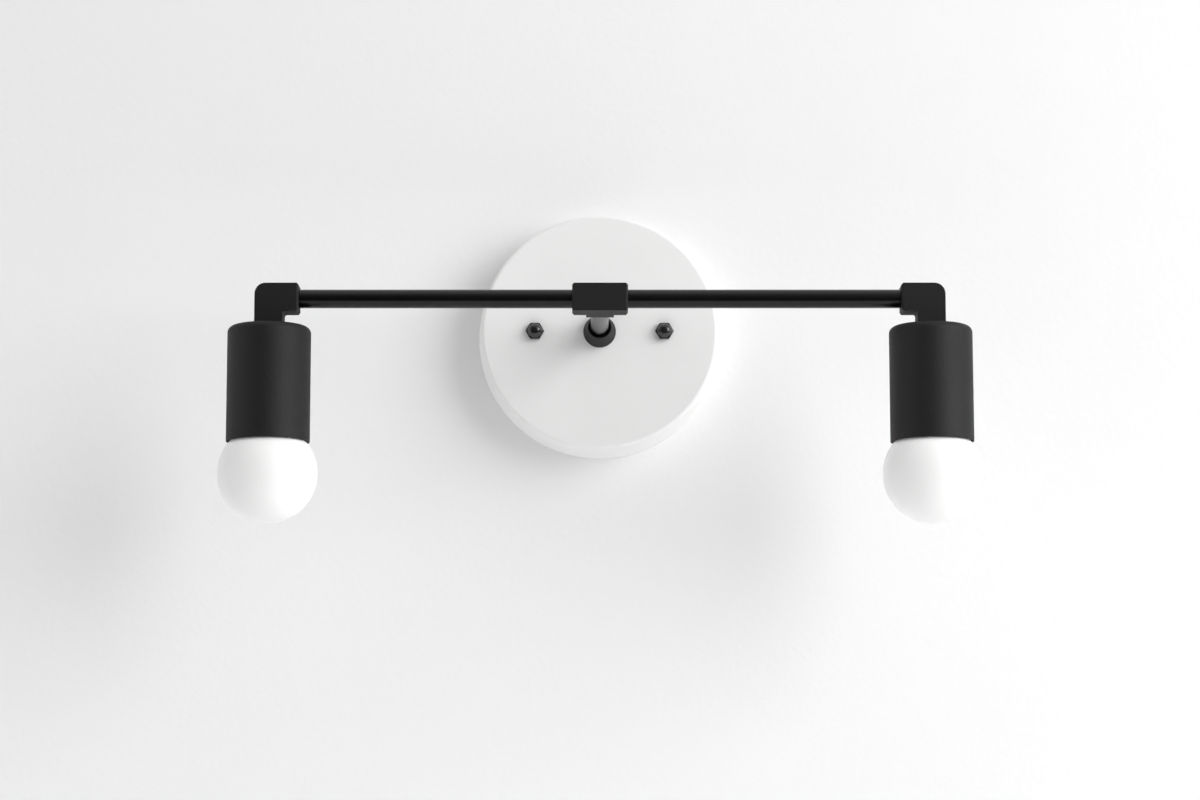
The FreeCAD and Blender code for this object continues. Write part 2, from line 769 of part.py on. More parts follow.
def lead_route(side, pole):
    """Points and bends of one lead; pole is 1 for the hot lead and -1 for the neutral one."""
    cup_x = side * cup_axis_x
    drop_x = cup_x + side * pole * lead_offset
    run_z = pole * lead_offset
    stem_x = side * lead_offset
    splice_z = pole * (splice_height - side * lead_offset)
    terminal_z = terminal_top_z + lead_radius
    if pole > 0:
        terminal_y = arm_y - hot_screw_y + terminal_head_radius
    else:
        terminal_y = arm_y + neutral_screw_y - terminal_head_radius
    points = [
        Vector(drop_x, terminal_y, terminal_z),
        Vector(drop_x, arm_y, terminal_z),
        Vector(drop_x, arm_y, run_z),
        Vector(stem_x, arm_y, run_z),
        Vector(stem_x, -lead_plane_out, run_z),
        Vector(stem_x, -lead_plane_out, splice_z),
        Vector(connector_start_x + connector_grip, -lead_plane_out, splice_z),
    ]
    bends = [
        lead_terminal_bend,
        lead_elbow_bend + pole * lead_offset,
        lead_tee_bend,
        lead_canopy_bend,
        lead_connector_bend - side * lead_offset,
    ]
    return points, bends


def insulated_lead(side, pole):
    """One lead from a socket terminal to its connector in the canopy."""
    points, bends = lead_route(side, pole)
    return tube_along(points, lead_radius, bends)


def wire_connectors():
    """Twist-on connectors, one for the two hot leads and one for the two neutral ones."""
    grip_end = connector_start_x + connector_grip
    tip = connector_start_x + connector_length
    profile = [(connector_bore_radius, connector_start_x), (connector_mouth_radius, connector_start_x)]
    profile += [(connector_mouth_radius, grip_end), (connector_tip_radius, tip), (0, tip)]
    profile += [(0, grip_end), (connector_bore_radius, grip_end)]
    shape = turned(profile)
    return [along_x(shape, -lead_plane_out, pole * splice_height) for pole in (-1, 1)]


def save(name, shape):
    """Write one node; a list of solids becomes one group."""
    if isinstance(shape, list):
        shape = Part.makeCompound(shape)
    shape.exportStep("parts/" + name + ".step")


centre_pieces = {
    "mounting_bar": mounting_bar,
    "canopy": canopy,
    "canopy_studs": canopy_studs,
    "stud_lock_nuts": stud_lock_nuts,
    "cap_nuts": cap_nuts,
    "ground_screw": ground_screw,
    "ground_lead": ground_lead,
    "seating_ring": seating_ring,
    "stem_tube": stem_tube,
    "stem_lock_washer": stem_lock_washer,
    "stem_lock_nut": stem_lock_nut,
    "tee_fitting": tee_fitting,
    "wire_connectors": wire_connectors,
}

side_pieces = {
    "arm_tube": arm_tube,
    "elbow_fitting": elbow_fitting,
    "lamp_cup": lamp_cup,
    "cup_nipple": cup_nipple,
    "cup_lock_washer": cup_lock_washer,
    "cup_lock_nut": cup_lock_nut,
    "socket_bracket": socket_bracket,
    "bracket_screws": bracket_screws,
    "socket_body": socket_body,
    "screw_shell": screw_shell,
    "centre_contact": centre_contact,
    "shell_terminal": shell_terminal,
    "terminal_screws": terminal_screws,
    "bulb_glass": bulb_glass,
    "bulb_base_shell": bulb_base_shell,
    "bulb_insulator": bulb_insulator,
    "bulb_tip_contact": bulb_tip_contact,
    "bulb_glass_mount": bulb_glass_mount,
    "bulb_filament": bulb_filament,
}

os.makedirs("parts", exist_ok=True)
for node, build in centre_pieces.items():
    save(node, build())
for node, build in side_pieces.items():
    right = build()
    save("right_" + node, right)
    save("left_" + node, [mirrored(s) for s in right] if isinstance(right, list) else mirrored(right))
for side_name, side in (("left", -1), ("right", 1)):
    for pole_name, pole in (("hot", 1), ("neutral", -1)):
        save(side_name + "_" + pole_name + "_lead", insulated_lead(side, pole))
        print(side_name, pole_name, "lead bend radii", lead_route(side, pole)[1])
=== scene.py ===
import logging
import math
from collections.abc import Callable, Sequence
from dataclasses import dataclass, field
from enum import Enum
from functools import cache

import bmesh
import bpy
from mathutils import Matrix, Vector


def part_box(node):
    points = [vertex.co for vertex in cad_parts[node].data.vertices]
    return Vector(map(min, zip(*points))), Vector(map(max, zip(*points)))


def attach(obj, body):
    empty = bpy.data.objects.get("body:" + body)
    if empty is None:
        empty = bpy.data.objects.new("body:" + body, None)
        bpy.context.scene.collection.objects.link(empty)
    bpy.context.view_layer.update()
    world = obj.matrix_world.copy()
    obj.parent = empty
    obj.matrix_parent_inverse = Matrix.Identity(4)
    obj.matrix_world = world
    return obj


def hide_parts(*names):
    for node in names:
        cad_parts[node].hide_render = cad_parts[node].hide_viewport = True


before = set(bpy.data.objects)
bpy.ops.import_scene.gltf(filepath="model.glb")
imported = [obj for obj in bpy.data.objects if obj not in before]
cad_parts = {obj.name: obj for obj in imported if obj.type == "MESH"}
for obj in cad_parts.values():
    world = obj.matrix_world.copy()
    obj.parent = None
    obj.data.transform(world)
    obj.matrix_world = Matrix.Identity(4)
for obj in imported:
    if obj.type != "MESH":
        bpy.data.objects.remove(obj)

# Looks of a two-lamp wall light. A piece's sizes are in millimetres until it is placed, and the
# studio's are in metres. X runs to the right, +Y goes into the wall and Z is up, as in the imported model.

log = logging.getLogger("wall_light")

MM = 0.001
SMOOTH_ANGLE = math.radians(32)
FLAT_ANGLE = math.radians(0.5)
WELD = 0.0005
MOST_REACH = 0.45
HOLD_SHARE = 0.15
WHITE = (1.0, 1.0, 1.0, 1.0)
SEEN_LEVEL = 0.93

Point = tuple[float, float, float]
Corners = Sequence[tuple[float, ...]]
Sockets = dict[str | int, object]
Piece = bpy.types.Object
Mesh = bpy.types.Mesh
Cage = bmesh.types.BMesh
Material = bpy.types.Material


def combined(operation: str, reflected: bool = False) -> Callable[["Wire", "Term"], "Wire"]:
    """Make a method that works out a wire with another term.

    Args:
        operation: The node's operation.
        reflected: Whether the other term comes first.

    Returns:
        The method.
    """

    def method(wire: "Wire", other: "Term") -> "Wire":
        """Work out the two terms."""
        return wire.graph.compute(operation, *((other, wire) if reflected else (wire, other)))

    return method


class Wire:
    """An output socket that takes part in Python expressions."""

    __add__ = combined("ADD")
    __radd__ = combined("ADD", reflected=True)
    __sub__ = combined("SUBTRACT")
    __rsub__ = combined("SUBTRACT", reflected=True)
    __mul__ = combined("MULTIPLY")
    __rmul__ = combined("MULTIPLY", reflected=True)
    __truediv__ = combined("DIVIDE")
    least = combined("MINIMUM")
    most = combined("MAXIMUM")
    above = combined("GREATER_THAN")

    def __init__(self, graph: "Graph", socket: bpy.types.NodeSocket) -> None:
        """Keep the socket and the graph that it belongs to."""
        self.graph = graph
        self.socket = socket

    def is_vector(self) -> bool:
        """Tell whether the socket carries a vector."""
        return self.socket.type == "VECTOR"

    def sine(self) -> "Wire":
        """Sine of an angle in radians."""
        return self.graph.compute("SINE", self)

    def cosine(self) -> "Wire":
        """Cosine of an angle in radians."""
        return self.graph.compute("COSINE", self)

    def eased(self, low: "Term", high: "Term") -> "Wire":
        """Rise smoothly from 0 at the low value to 1 at the high one."""
        sockets = {"Value": self, "From Min": low, "From Max": high}
        return self.graph.node("ShaderNodeMapRange", sockets, interpolation_type="SMOOTHSTEP")


Term = Wire | float | tuple[float, ...]


class Graph:
    """A node tree with one method that makes any kind of node."""

    def __init__(self, tree: bpy.types.NodeTree) -> None:
        """Start on an empty tree."""
        self.tree = tree
        tree.nodes.clear()

    def node(self, kind: str, sockets: Sockets | None = None, out: int | str = 0, **settings: object) -> Wire:
        """Make a node, set it up and feed its sockets.

        Args:
            kind: Blender's name of the node type.
            sockets: Values or wires by input name or number.
            out: The output that is returned.
            settings: The node's properties, which are set first.

        Returns:
            The chosen output.
        """
        made = self.tree.nodes.new(kind)
        for name, value in settings.items():
            setattr(made, name, value)
        for key, value in (sockets or {}).items():
            self.feed(made.inputs[key], value)
        return Wire(self, made.outputs[out])

    def feed(self, socket: bpy.types.NodeSocket, value: object) -> None:
        """Link a wire to an input, or set the input's own value.

        Args:
            socket: The input.
            value: A wire or a value.
        """
        if isinstance(value, Wire):
            self.tree.links.new(value.socket, socket)
        else:
            socket.default_value = value

    def deliver(self, kind: str, socket: str, result: Wire) -> None:
        """End the tree in an output node of a kind."""
        self.feed(self.tree.nodes.new(kind).inputs[socket], result)

    def compute(self, operation: str, *terms: Term) -> Wire:
        """Add one Math or Vector Math node.

        Args:
            operation: The node's operation.
            terms: Its inputs, in order.

        Returns:
            The result.
        """
        vectors = [isinstance(t, tuple) or isinstance(t, Wire) and t.is_vector() for t in terms]
        if not any(vectors):
            return self.node("ShaderNodeMath", dict(enumerate(terms)), operation=operation)
        if operation == "MULTIPLY" and not all(vectors):
            vector, number = terms if vectors[0] else terms[::-1]
            return self.node("ShaderNodeVectorMath", {0: vector, "Scale": number}, operation="SCALE")
        return self.node("ShaderNodeVectorMath", dict(enumerate(terms)), operation=operation)


class Shader(Graph):
    """A material's tree, with the steps that most finishes share."""

    def __init__(self, name: str) -> None:
        """Make the material and find its object coordinates.

        Args:
            name: Name of the material.
        """
        self.material = bpy.data.materials.new(name)
        self.material.use_nodes = True
        super().__init__(self.material.node_tree)
        self.place = self.node("ShaderNodeTexCoord", out="Object")

    def noise(self, size_mm: float, detail: float = 2.0, stretch: Point = (1.0, 1.0, 1.0)) -> Wire:
        """Soft noise about 0.5, in patches of a size, drawn out along an axis whose stretch is below 1."""
        sockets = {"Vector": self.place * stretch, "Scale": 1 / (size_mm * MM), "Detail": detail}
        return self.node("ShaderNodeTexNoise", sockets)

    def grains(self, size_mm: float) -> Wire:
        """Distance from the nearest of many scattered grains, as a share of their spacing."""
        sockets = {"Vector": self.place, "Scale": 1 / (size_mm * MM)}
        return self.node("ShaderNodeTexVoronoi", sockets, feature="F1")

    def blend(self, factor: Term, first: object, second: object) -> Wire:
        """Mix two colours, where a factor of 0 gives the first and 1 the second."""
        return self.node("ShaderNodeMix", {0: factor, 6: first, 7: second}, out=2, data_type="RGBA")

    def shades(self, factor: Wire, colour: Point, spread: float) -> Wire:
        """Vary a colour by a share to both sides, from the darker shade at 0 to the lighter at 1."""
        return self.blend(factor, tint(colour, 1 - spread), tint(colour, 1 + spread))

    def relief(self, height: Wire, depth_mm: float, under: Wire | None = None) -> Wire:
        """Turn a height into a normal.

        Args:
            height: Height from 0 to 1.
            depth_mm: How far 0 lies under 1.
            under: A coarser relief that this one lies on.

        Returns:
            The normal.
        """
        sockets: Sockets = {"Height": height, "Distance": depth_mm * MM, "Strength": 1.0}
        if under:
            sockets["Normal"] = under
        return self.node("ShaderNodeBump", sockets)

    def surface(self, **sockets: object) -> Material:
        """End the tree in a Principled surface, whose inputs have an underscore for each space."""
        named = {key.replace("_", " "): value for key, value in sockets.items()}
        return self.close(self.node("ShaderNodeBsdfPrincipled", named))

    def close(self, shade: Wire) -> Material:
        """Link a shader to the output and return the material."""
        self.deliver("ShaderNodeOutputMaterial", "Surface", shade)
        return self.material


def tint(colour: Point, factor: float = 1.0) -> tuple[float, float, float, float]:
    """A colour times a factor, with full alpha."""
    return (*(min(1.0, c * factor) for c in colour), 1.0)


def swing(mark: Wire, width: float) -> Wire:
    """How far a mark whose middle is a half swings a value to either side."""
    return (mark - 0.5) * width


@dataclass(frozen=True)
class Finish:
    """A surface finish, which fills one of the record's material slots."""

    slot: str
    colour: Point
    kind: str = field(default="finish", kw_only=True)

    def material(self) -> Material:
        """The finish's material, made the first time it is asked for.

        Returns:
            The material.
        """
        name = f"{self.slot}_{self.kind}"
        if name not in bpy.data.materials:
            self.shade(Shader(name))
        return bpy.data.materials[name]

    def shade(self, shader: Shader) -> Material:
        """Fill in the material's tree."""
        raise NotImplementedError


@dataclass(frozen=True)
class PowderCoat(Finish):
    """Sprayed and baked coat: soft orange peel, with a fine grain on top."""

    roughness: float
    peel_mm: float
    peel_depth: float
    grain_mm: float
    grain_depth: float
    mottle: float
    gloss: float
    cloud_mm: float = 26.0
    cloud_share: float = 0.6
    cloud_sheen: float = 0.12
    peel_sheen: float = 0.06

    def shade(self, shader: Shader) -> Material:
        """Fill in the material's tree.

        Args:
            shader: The empty tree.

        Returns:
            The material.
        """
        cloud = shader.noise(self.cloud_mm, 3)
        peel = shader.noise(self.peel_mm)
        grain = shader.grains(self.grain_mm)
        mix = cloud * self.cloud_share + grain * (1 - self.cloud_share)
        return shader.surface(
            Base_Color=shader.shades(mix, self.colour, self.mottle),
            Roughness=self.roughness + swing(cloud, self.cloud_sheen) + swing(peel, self.peel_sheen),
            Specular_IOR_Level=self.gloss,
            Normal=shader.relief(grain, self.grain_depth, shader.relief(peel, self.peel_depth)),
        )


@dataclass(frozen=True)
class Enamel(Finish):
    """Glossy coat that flows a little at the edges."""

    roughness: float
    flow_mm: float = 3.0
    dust_mm: float = 1.1
    dust_share: float = 0.2
    spread: float = 0.15
    sheen: float = 0.1
    lacquer: float = 0.3
    depth: float = 0.02

    def shade(self, shader: Shader) -> Material:
        """Fill in the material's tree.

        Args:
            shader: The empty tree.

        Returns:
            The material.
        """
        flow = shader.noise(self.flow_mm)
        dust = shader.grains(self.dust_mm)
        return shader.surface(
            Base_Color=shader.shades(flow, self.colour, self.spread),
            Roughness=self.roughness + swing(flow, self.sheen),
            Coat_Weight=self.lacquer,
            Normal=shader.relief(flow + dust * self.dust_share, self.depth),
        )


@dataclass(frozen=True)
class Metal(Finish):
    """Bare or plated metal with drawing marks and slight tarnish."""

    roughness: float
    stretch: Point = (1.0, 1.0, 1.0)
    tarnish: Point = (0.35, 0.33, 0.3)
    tarnish_share: float = 0.2
    mark_mm: float = 0.5
    patch_mm: float = 7.0
    patch_edges: tuple[float, float] = (0.45, 0.75)
    spread: float = 0.08
    mark_sheen: float = 0.14
    patch_sheen: float = 0.12
    depth: float = 0.012

    def shade(self, shader: Shader) -> Material:
        """Fill in the material's tree.

        Args:
            shader: The empty tree.

        Returns:
            The material.
        """
        marks = shader.noise(self.mark_mm, 3, self.stretch)
        patches = shader.noise(self.patch_mm, 4).eased(*self.patch_edges)
        bright = shader.shades(marks, self.colour, self.spread)
        return shader.surface(
            Base_Color=shader.blend(patches * self.tarnish_share, bright, tint(self.tarnish)),
            Metallic=1.0,
            Roughness=self.roughness + swing(marks, self.mark_sheen) + patches * self.patch_sheen,
            Normal=shader.relief(marks, self.depth),
        )


@dataclass(frozen=True)
class Moulding(Finish):
    """Moulded plastic or phenolic with flow marks."""

    roughness: float
    fleck: float
    flow_mm: float = 9.0
    pit_mm: float = 0.5
    flow_share: float = 0.5
    sheen: float = 0.12
    depth: float = 0.012

    def shade(self, shader: Shader) -> Material:
        """Fill in the material's tree.

        Args:
            shader: The empty tree.

        Returns:
            The material.
        """
        flow = shader.noise(self.flow_mm, 4)
        pits = shader.grains(self.pit_mm)
        return shader.surface(
            Base_Color=shader.shades(flow, self.colour, self.fleck),
            Roughness=self.roughness + swing(flow, self.sheen),
            Normal=shader.relief(pits + flow * self.flow_share, self.depth),
        )


@dataclass(frozen=True)
class OpalGlass(Finish):
    """White coated glass: even and bright, with faint cloud and a soft sheen."""

    roughness: float = 0.34
    cloud_mm: float = 16.0
    ripple_mm: float = 11.0
    spread: float = 0.012
    sheen: float = 0.04
    scatter: float = 0.12
    scatter_reach: float = 0.004
    depth: float = 0.03

    def shade(self, shader: Shader) -> Material:
        """Fill in the material's tree.

        Args:
            shader: The empty tree.

        Returns:
            The material.
        """
        cloud = shader.noise(self.cloud_mm, 3)
        return shader.surface(
            Base_Color=shader.shades(cloud, self.colour, self.spread),
            Roughness=self.roughness + swing(cloud, self.sheen),
            Subsurface_Weight=self.scatter,
            Subsurface_Radius=(1.0, 1.0, 1.0),
            Subsurface_Scale=self.scatter_reach,
            Normal=shader.relief(shader.noise(self.ripple_mm, 1), self.depth),
        )


@dataclass(frozen=True)
class PlainGlass(Finish):
    """Fused or drawn glass with faint swirls, dark or clear."""

    swirl_mm: float
    detail: float
    spread: float
    smoothest: float
    sheen: float
    depth: float
    clearness: float = 0.0

    def shade(self, shader: Shader) -> Material:
        """Fill in the material's tree.

        Args:
            shader: The empty tree.

        Returns:
            The material.
        """
        swirl = shader.noise(self.swirl_mm, self.detail)
        return shader.surface(
            Base_Color=shader.shades(swirl, self.colour, self.spread),
            Roughness=self.smoothest + swirl * self.sheen,
            Transmission_Weight=self.clearness,
            IOR=1.5,
            Normal=shader.relief(swirl, self.depth),
        )


PLATED = (1.0, 1.0, 0.2)


class Coats(Enum):
    """Every finish on the light."""

    CANOPY = PowderCoat("canopy_white", (0.86, 0.86, 0.855), 0.5, 2.6, 0.05, 0.45, 0.012, 0.02, 0.5)
    SATIN = PowderCoat("satin_black", (0.002, 0.002, 0.0021), 0.23, 3.0, 0.003, 0.3, 0.0, 0.0, 0.31)
    FITTING = PowderCoat(
        "satin_black", (0.005, 0.005, 0.0051), 0.62, 1.6, 0.03, 0.34, 0.03, 0.25, 0.28, kind="cast"
    )
    CUP = PowderCoat("cup_black", (0.003, 0.003, 0.0031), 0.62, 1.2, 0.05, 0.6, 0.05, 0.3, 0.36)
    NUT = Enamel("nut_black", (0.008, 0.008, 0.009), 0.2)
    ZINC = Metal("zinc_steel", (0.62, 0.63, 0.64), 0.37, tarnish=(0.42, 0.4, 0.34))
    GREEN = Enamel("ground_green", (0.05, 0.33, 0.12), 0.36)
    COPPER = Metal("bare_copper", (0.72, 0.42, 0.29), 0.37, (1.0, 1.0, 0.1), (0.3, 0.14, 0.08), 0.4)
    CONNECTOR = Moulding("connector_plastic", (0.8, 0.33, 0.06), 0.34, 0.06)
    PHENOLIC = Moulding("socket_phenolic", (0.05, 0.045, 0.04), 0.32, 0.3)
    ALUMINIUM = Metal("shell_aluminium", (0.74, 0.75, 0.76), 0.28, PLATED)
    BRASS = Metal("contact_brass", (0.78, 0.61, 0.3), 0.26, (0.2, 1.0, 1.0), (0.36, 0.24, 0.1), 0.3)
    OPAL = OpalGlass("opal_glass", (0.96, 0.96, 0.953))
    NICKEL = Metal("base_nickel", (0.76, 0.75, 0.72), 0.22, PLATED, (0.5, 0.46, 0.4))
    VITRITE = PlainGlass("base_glass", (0.05, 0.045, 0.06), 4.0, 3, 0.4, 0.12, 0.1, 0.05)
    SOLDER = Metal("solder", (0.6, 0.6, 0.6), 0.45, tarnish=(0.35, 0.35, 0.36), tarnish_share=0.5)
    CLEAR = PlainGlass("clear_glass", (0.92, 0.94, 0.94), 2.0, 2, 0.02, 0.03, 0.04, 0.02, 1.0)
    TUNGSTEN = Metal("tungsten", (0.3, 0.3, 0.31), 0.4, (0.1, 1.0, 1.0))
    BLACK_LEAD = Moulding("black_insulation", (0.03, 0.03, 0.03), 0.45, 0.2)
    WHITE_LEAD = Moulding("white_insulation", (0.85, 0.85, 0.83), 0.45, 0.03)


class Heading(Enum):
    """The way in which a turned piece's heights run."""

    UP = (0.0, "X")
    OUT = (math.pi / 2, "X")
    RIGHT = (math.pi / 2, "Y")
    LEFT = (-math.pi / 2, "Y")


@dataclass(frozen=True)
class Spindle:
    """The line that pieces are centred on; their heights run along it."""

    origin: Point = (0.0, 0.0, 0.0)
    heading: Heading = Heading.UP

    def matrix(self) -> Matrix:
        """Placing matrix, from millimetres on the spindle to metres in the frame.

        Returns:
            The matrix.
        """
        angle, axis = self.heading.value
        shift = Matrix.Translation(Vector(self.origin) * MM)
        return shift @ Matrix.Rotation(angle, 4, axis) @ Matrix.Diagonal((MM, MM, MM, 1.0))


FRAME_AXES = Spindle()
WALL_AXIS = Spindle(heading=Heading.OUT)


def softened(corners: Corners, closed: bool, steps: int) -> list[tuple[float, float]]:
    """Round the corners of an outline, with a holding point just outside each arc.

    Args:
        corners: (radius, height) or (radius, height, rounding) of each corner.
        closed: Whether the last corner is joined to the first.
        steps: Straight pieces in each arc.

    Returns:
        The outline's points.
    """
    points = []
    count = len(corners)
    for i, corner in enumerate(corners):
        here = Vector(corner[:2])
        if len(corner) < 3 or not closed and i in (0, count - 1):
            points.append(tuple(here))
            continue
        back = Vector(corners[i - 1][:2]) - here
        ahead = Vector(corners[(i + 1) % count][:2]) - here
        half = back.angle(ahead) / 2
        reach = min(corner[2] / math.tan(half), MOST_REACH * back.length, MOST_REACH * ahead.length)
        hold = reach * (1 + HOLD_SHARE)
        back.normalize()
        ahead.normalize()
        centre = here + (back + ahead).normalized() * (reach / math.cos(half))
        points.append(tuple(here + back * hold))
        first = here + back * reach - centre
        turn = first.angle_signed(here + ahead * reach - centre)
        for step in range(steps + 1):
            arm = first.copy()
            arm.rotate(Matrix.Rotation(-turn * step / steps, 2))
            points.append(tuple(centre + arm))
        points.append(tuple(here + ahead * hold))
    return points


def add_object(name: str, data: bpy.types.ID) -> Piece:
    """Put a mesh, curve, camera or lamp into the scene as an object at the origin.

    Args:
        name: Name of the object.
        data: What it shows.

    Returns:
        The object.
    """
    piece = bpy.data.objects.new(name, data)
    bpy.context.scene.collection.objects.link(piece)
    return piece


def plain_mesh(piece: Piece) -> Mesh:
    """The mesh that an object's modifiers or its curve settings give.

    Args:
        piece: The object.

    Returns:
        A new mesh.
    """
    bpy.context.view_layer.update()
    graph = bpy.context.evaluated_depsgraph_get()
    return bpy.data.meshes.new_from_object(piece.evaluated_get(graph), depsgraph=graph)


def bake_shape(piece: Piece) -> Piece:
    """Turn a piece with live modifiers into its plain mesh.

    Args:
        piece: The piece.

    Returns:
        The same piece.
    """
    mesh = plain_mesh(piece)
    piece.modifiers.clear()
    piece.data = mesh
    return piece


def shade_by_angle(mesh: Mesh) -> None:
    """Shade a mesh smooth except across its sharp edges."""
    mesh.shade_smooth()
    mesh.set_sharp_from_angle(angle=SMOOTH_ANGLE)


def tidy_mesh(mesh: Mesh) -> None:
    """Merge doubles, turn the faces of a closed solid outward and shade by angle.

    Args:
        mesh: The mesh, which is changed.
    """
    cage = bmesh.new()
    cage.from_mesh(mesh)
    bmesh.ops.remove_doubles(cage, verts=cage.verts, dist=WELD)
    bmesh.ops.dissolve_degenerate(cage, edges=cage.edges, dist=WELD)
    bmesh.ops.recalc_face_normals(cage, faces=cage.faces)
    cage.to_mesh(mesh)
    cage.free()
    shade_by_angle(mesh)


def mesh_of(name: str, cage: Cage) -> Mesh:
    """Make a mesh of a bmesh, which is used up.

    Args:
        name: Name of the mesh.
        cage: The bmesh.

    Returns:
        The mesh, shaded by angle.
    """
    mesh = bpy.data.meshes.new(name)
    cage.to_mesh(mesh)
    cage.free()
    shade_by_angle(mesh)
    return mesh


def finish_cage(name: str, cage: Cage) -> Piece:
    """Make an object of a closed bmesh and tidy it.

    Args:
        name: Name of the piece.
        cage: The bmesh, which is used up.

    Returns:
        The piece.
    """
    mesh = mesh_of(name, cage)
    tidy_mesh(mesh)
    return add_object(name, mesh)


def ring_of(cage: Cage, radius: float, height: float, sides: int) -> list[bmesh.types.BMVert]:
    """Add a ring of points round the upright axis."""
    turns = [math.tau * i / sides for i in range(sides)]
    return [cage.verts.new((radius * math.cos(t), radius * math.sin(t), height)) for t in turns]


def turned(name: str, corners: Corners, closed: bool = True, sides: int = 72, steps: int = 6) -> Piece:
    """Turn an outline about its axis.

    Args:
        name: Name of the piece.
        corners: Corners as softened() takes them.
        closed: False where the outline starts and ends on the axis.
        sides: Flats round the piece.
        steps: Straight pieces in each rounded corner.

    Returns:
        The piece, in millimetres on its own axis.
    """
    cage = bmesh.new()
    rings = []
    for r, h in softened(corners, closed, steps):
        on_axis = r < WELD
        rings.append([cage.verts.new((0.0, 0.0, h))] * sides if on_axis else ring_of(cage, r, h, sides))
    for lower, upper in zip(rings, rings[1:] + rings[:1] if closed else rings[1:]):
        for i in range(sides):
            loop = list(dict.fromkeys((lower[i - 1], lower[i], upper[i], upper[i - 1])))
            if len(loop) > 2:
                cage.faces.new(loop)
    return finish_cage(name, cage)


def hexagonal(name: str, flats: float, bottom: float, top: float) -> Piece:
    """Hexagonal bar with its corners on the X axis and its ends turned off at the corners.

    Args:
        name: Name of the piece.
        flats: Width across the flats.
        bottom: Lower height.
        top: Upper height.

    Returns:
        The bar, in millimetres on its own axis.
    """
    face_share, outer_share, chamfer, skin = 0.97, 1.05, math.radians(30), 0.1
    corner = flats / math.sqrt(3)
    cage = bmesh.new()
    rings = [ring_of(cage, corner, h, 6) for h in (bottom, top)]
    for ring in rings:
        cage.faces.new(ring)
    for i in range(6):
        cage.faces.new((rings[0][i], rings[0][i - 1], rings[1][i - 1], rings[1][i]))
    bar = finish_cage(name, cage)
    face = flats / 2 * face_share
    outer = corner * outer_share
    drop = (outer - face) * math.tan(chamfer)
    outline = [(0.0, bottom - skin), (face, bottom), (outer, bottom + drop)]
    outline += [(outer, top - drop), (face, top), (0.0, top + skin)]
    return combine(bar, turned(name + "_envelope", outline, False), "INTERSECT")


def cuboid(name: str, low: Point, high: Point) -> Piece:
    """Plain block between two corners.

    Args:
        name: Name of the piece.
        low: The corner with the least coordinates.
        high: The opposite corner.

    Returns:
        The block.
    """
    cage = bmesh.new()
    bmesh.ops.create_cube(cage, size=1.0)
    size = Vector(high) - Vector(low)
    for corner in cage.verts:
        corner.co = Vector(low) + Vector([(c + 0.5) * s for c, s in zip(corner.co, size)])
    return finish_cage(name, cage)


def combine(piece: Piece, tool: Piece, operation: str) -> Piece:
    """Cut, join or intersect a piece with another, which is used up.

    Args:
        piece: The piece that is changed.
        tool: The second piece.
        operation: DIFFERENCE, UNION or INTERSECT.

    Returns:
        The changed piece.
    """
    step = piece.modifiers.new("combine", "BOOLEAN")
    step.operation = operation
    step.solver = "EXACT"
    step.object = tool
    bake_shape(piece)
    bpy.data.objects.remove(tool)
    tidy_mesh(piece.data)
    return piece


def bored(piece: Piece, radius: float, low: float, high: float, sides: int = 32, x: float = 0.0) -> Piece:
    """Cut an upright round hole into a piece.

    Args:
        piece: The piece.
        radius: The hole's radius.
        low: Height at which the hole starts.
        high: Height at which it ends.
        sides: Flats round the hole.
        x: Where the hole is.

    Returns:
        The changed piece.
    """
    drill = turned("drill", [(0.0, low), (radius, low), (radius, high), (0.0, high)], False, sides)
    drill.data.transform(Matrix.Translation((x, 0.0, 0.0)))
    return combine(piece, drill, "DIFFERENCE")


def edge_rounded(piece: Piece, width: float, segments: int = 2) -> Piece:
    """Round every sharp edge of a closed piece.

    Args:
        piece: The piece.
        width: Width of the rounding.
        segments: Faces across it.

    Returns:
        The same piece.
    """
    step = piece.modifiers.new("edges", "BEVEL")
    step.width = width
    step.segments = segments
    step.limit_method = "ANGLE"
    step.angle_limit = SMOOTH_ANGLE
    step.harden_normals = True
    return bake_shape(piece)


def joined(name: str, *pieces: Piece) -> Piece:
    """Join pieces, which are used up, into one object.

    Args:
        name: Name of the result.
        pieces: The pieces.

    Returns:
        The joined piece.
    """
    cage = bmesh.new()
    for piece in pieces:
        cage.from_mesh(piece.data)
        bpy.data.objects.remove(piece)
    return add_object(name, mesh_of(name, cage))


def moved(piece: Piece, spindle: Spindle) -> Piece:
    """Move a piece onto a spindle, still in millimetres."""
    piece.data.transform(Matrix.Diagonal((1 / MM, 1 / MM, 1 / MM, 1.0)) @ spindle.matrix())
    return piece


def wire_tube(name: str, route: Sequence[Vector], radius: float) -> Piece:
    """Round wire along a smooth curve that the route's points control.

    Args:
        name: Name of the piece.
        route: Control points.
        radius: The wire's radius.

    Returns:
        The wire as a mesh.
    """
    curve = bpy.data.curves.new(name, "CURVE")
    curve.dimensions = "3D"
    curve.bevel_depth = radius
    curve.bevel_resolution = 4
    curve.use_fill_caps = True
    spline = curve.splines.new("NURBS")
    spline.points.add(len(route) - 1)
    for point, place in zip(spline.points, route):
        point.co = (*place, 1.0)
    spline.order_u = 3
    spline.use_endpoint_u = True
    spline.resolution_u = 10
    line = add_object(name + "_line", curve)
    mesh = plain_mesh(line)
    bpy.data.objects.remove(line)
    tidy_mesh(mesh)
    return add_object(name, mesh)


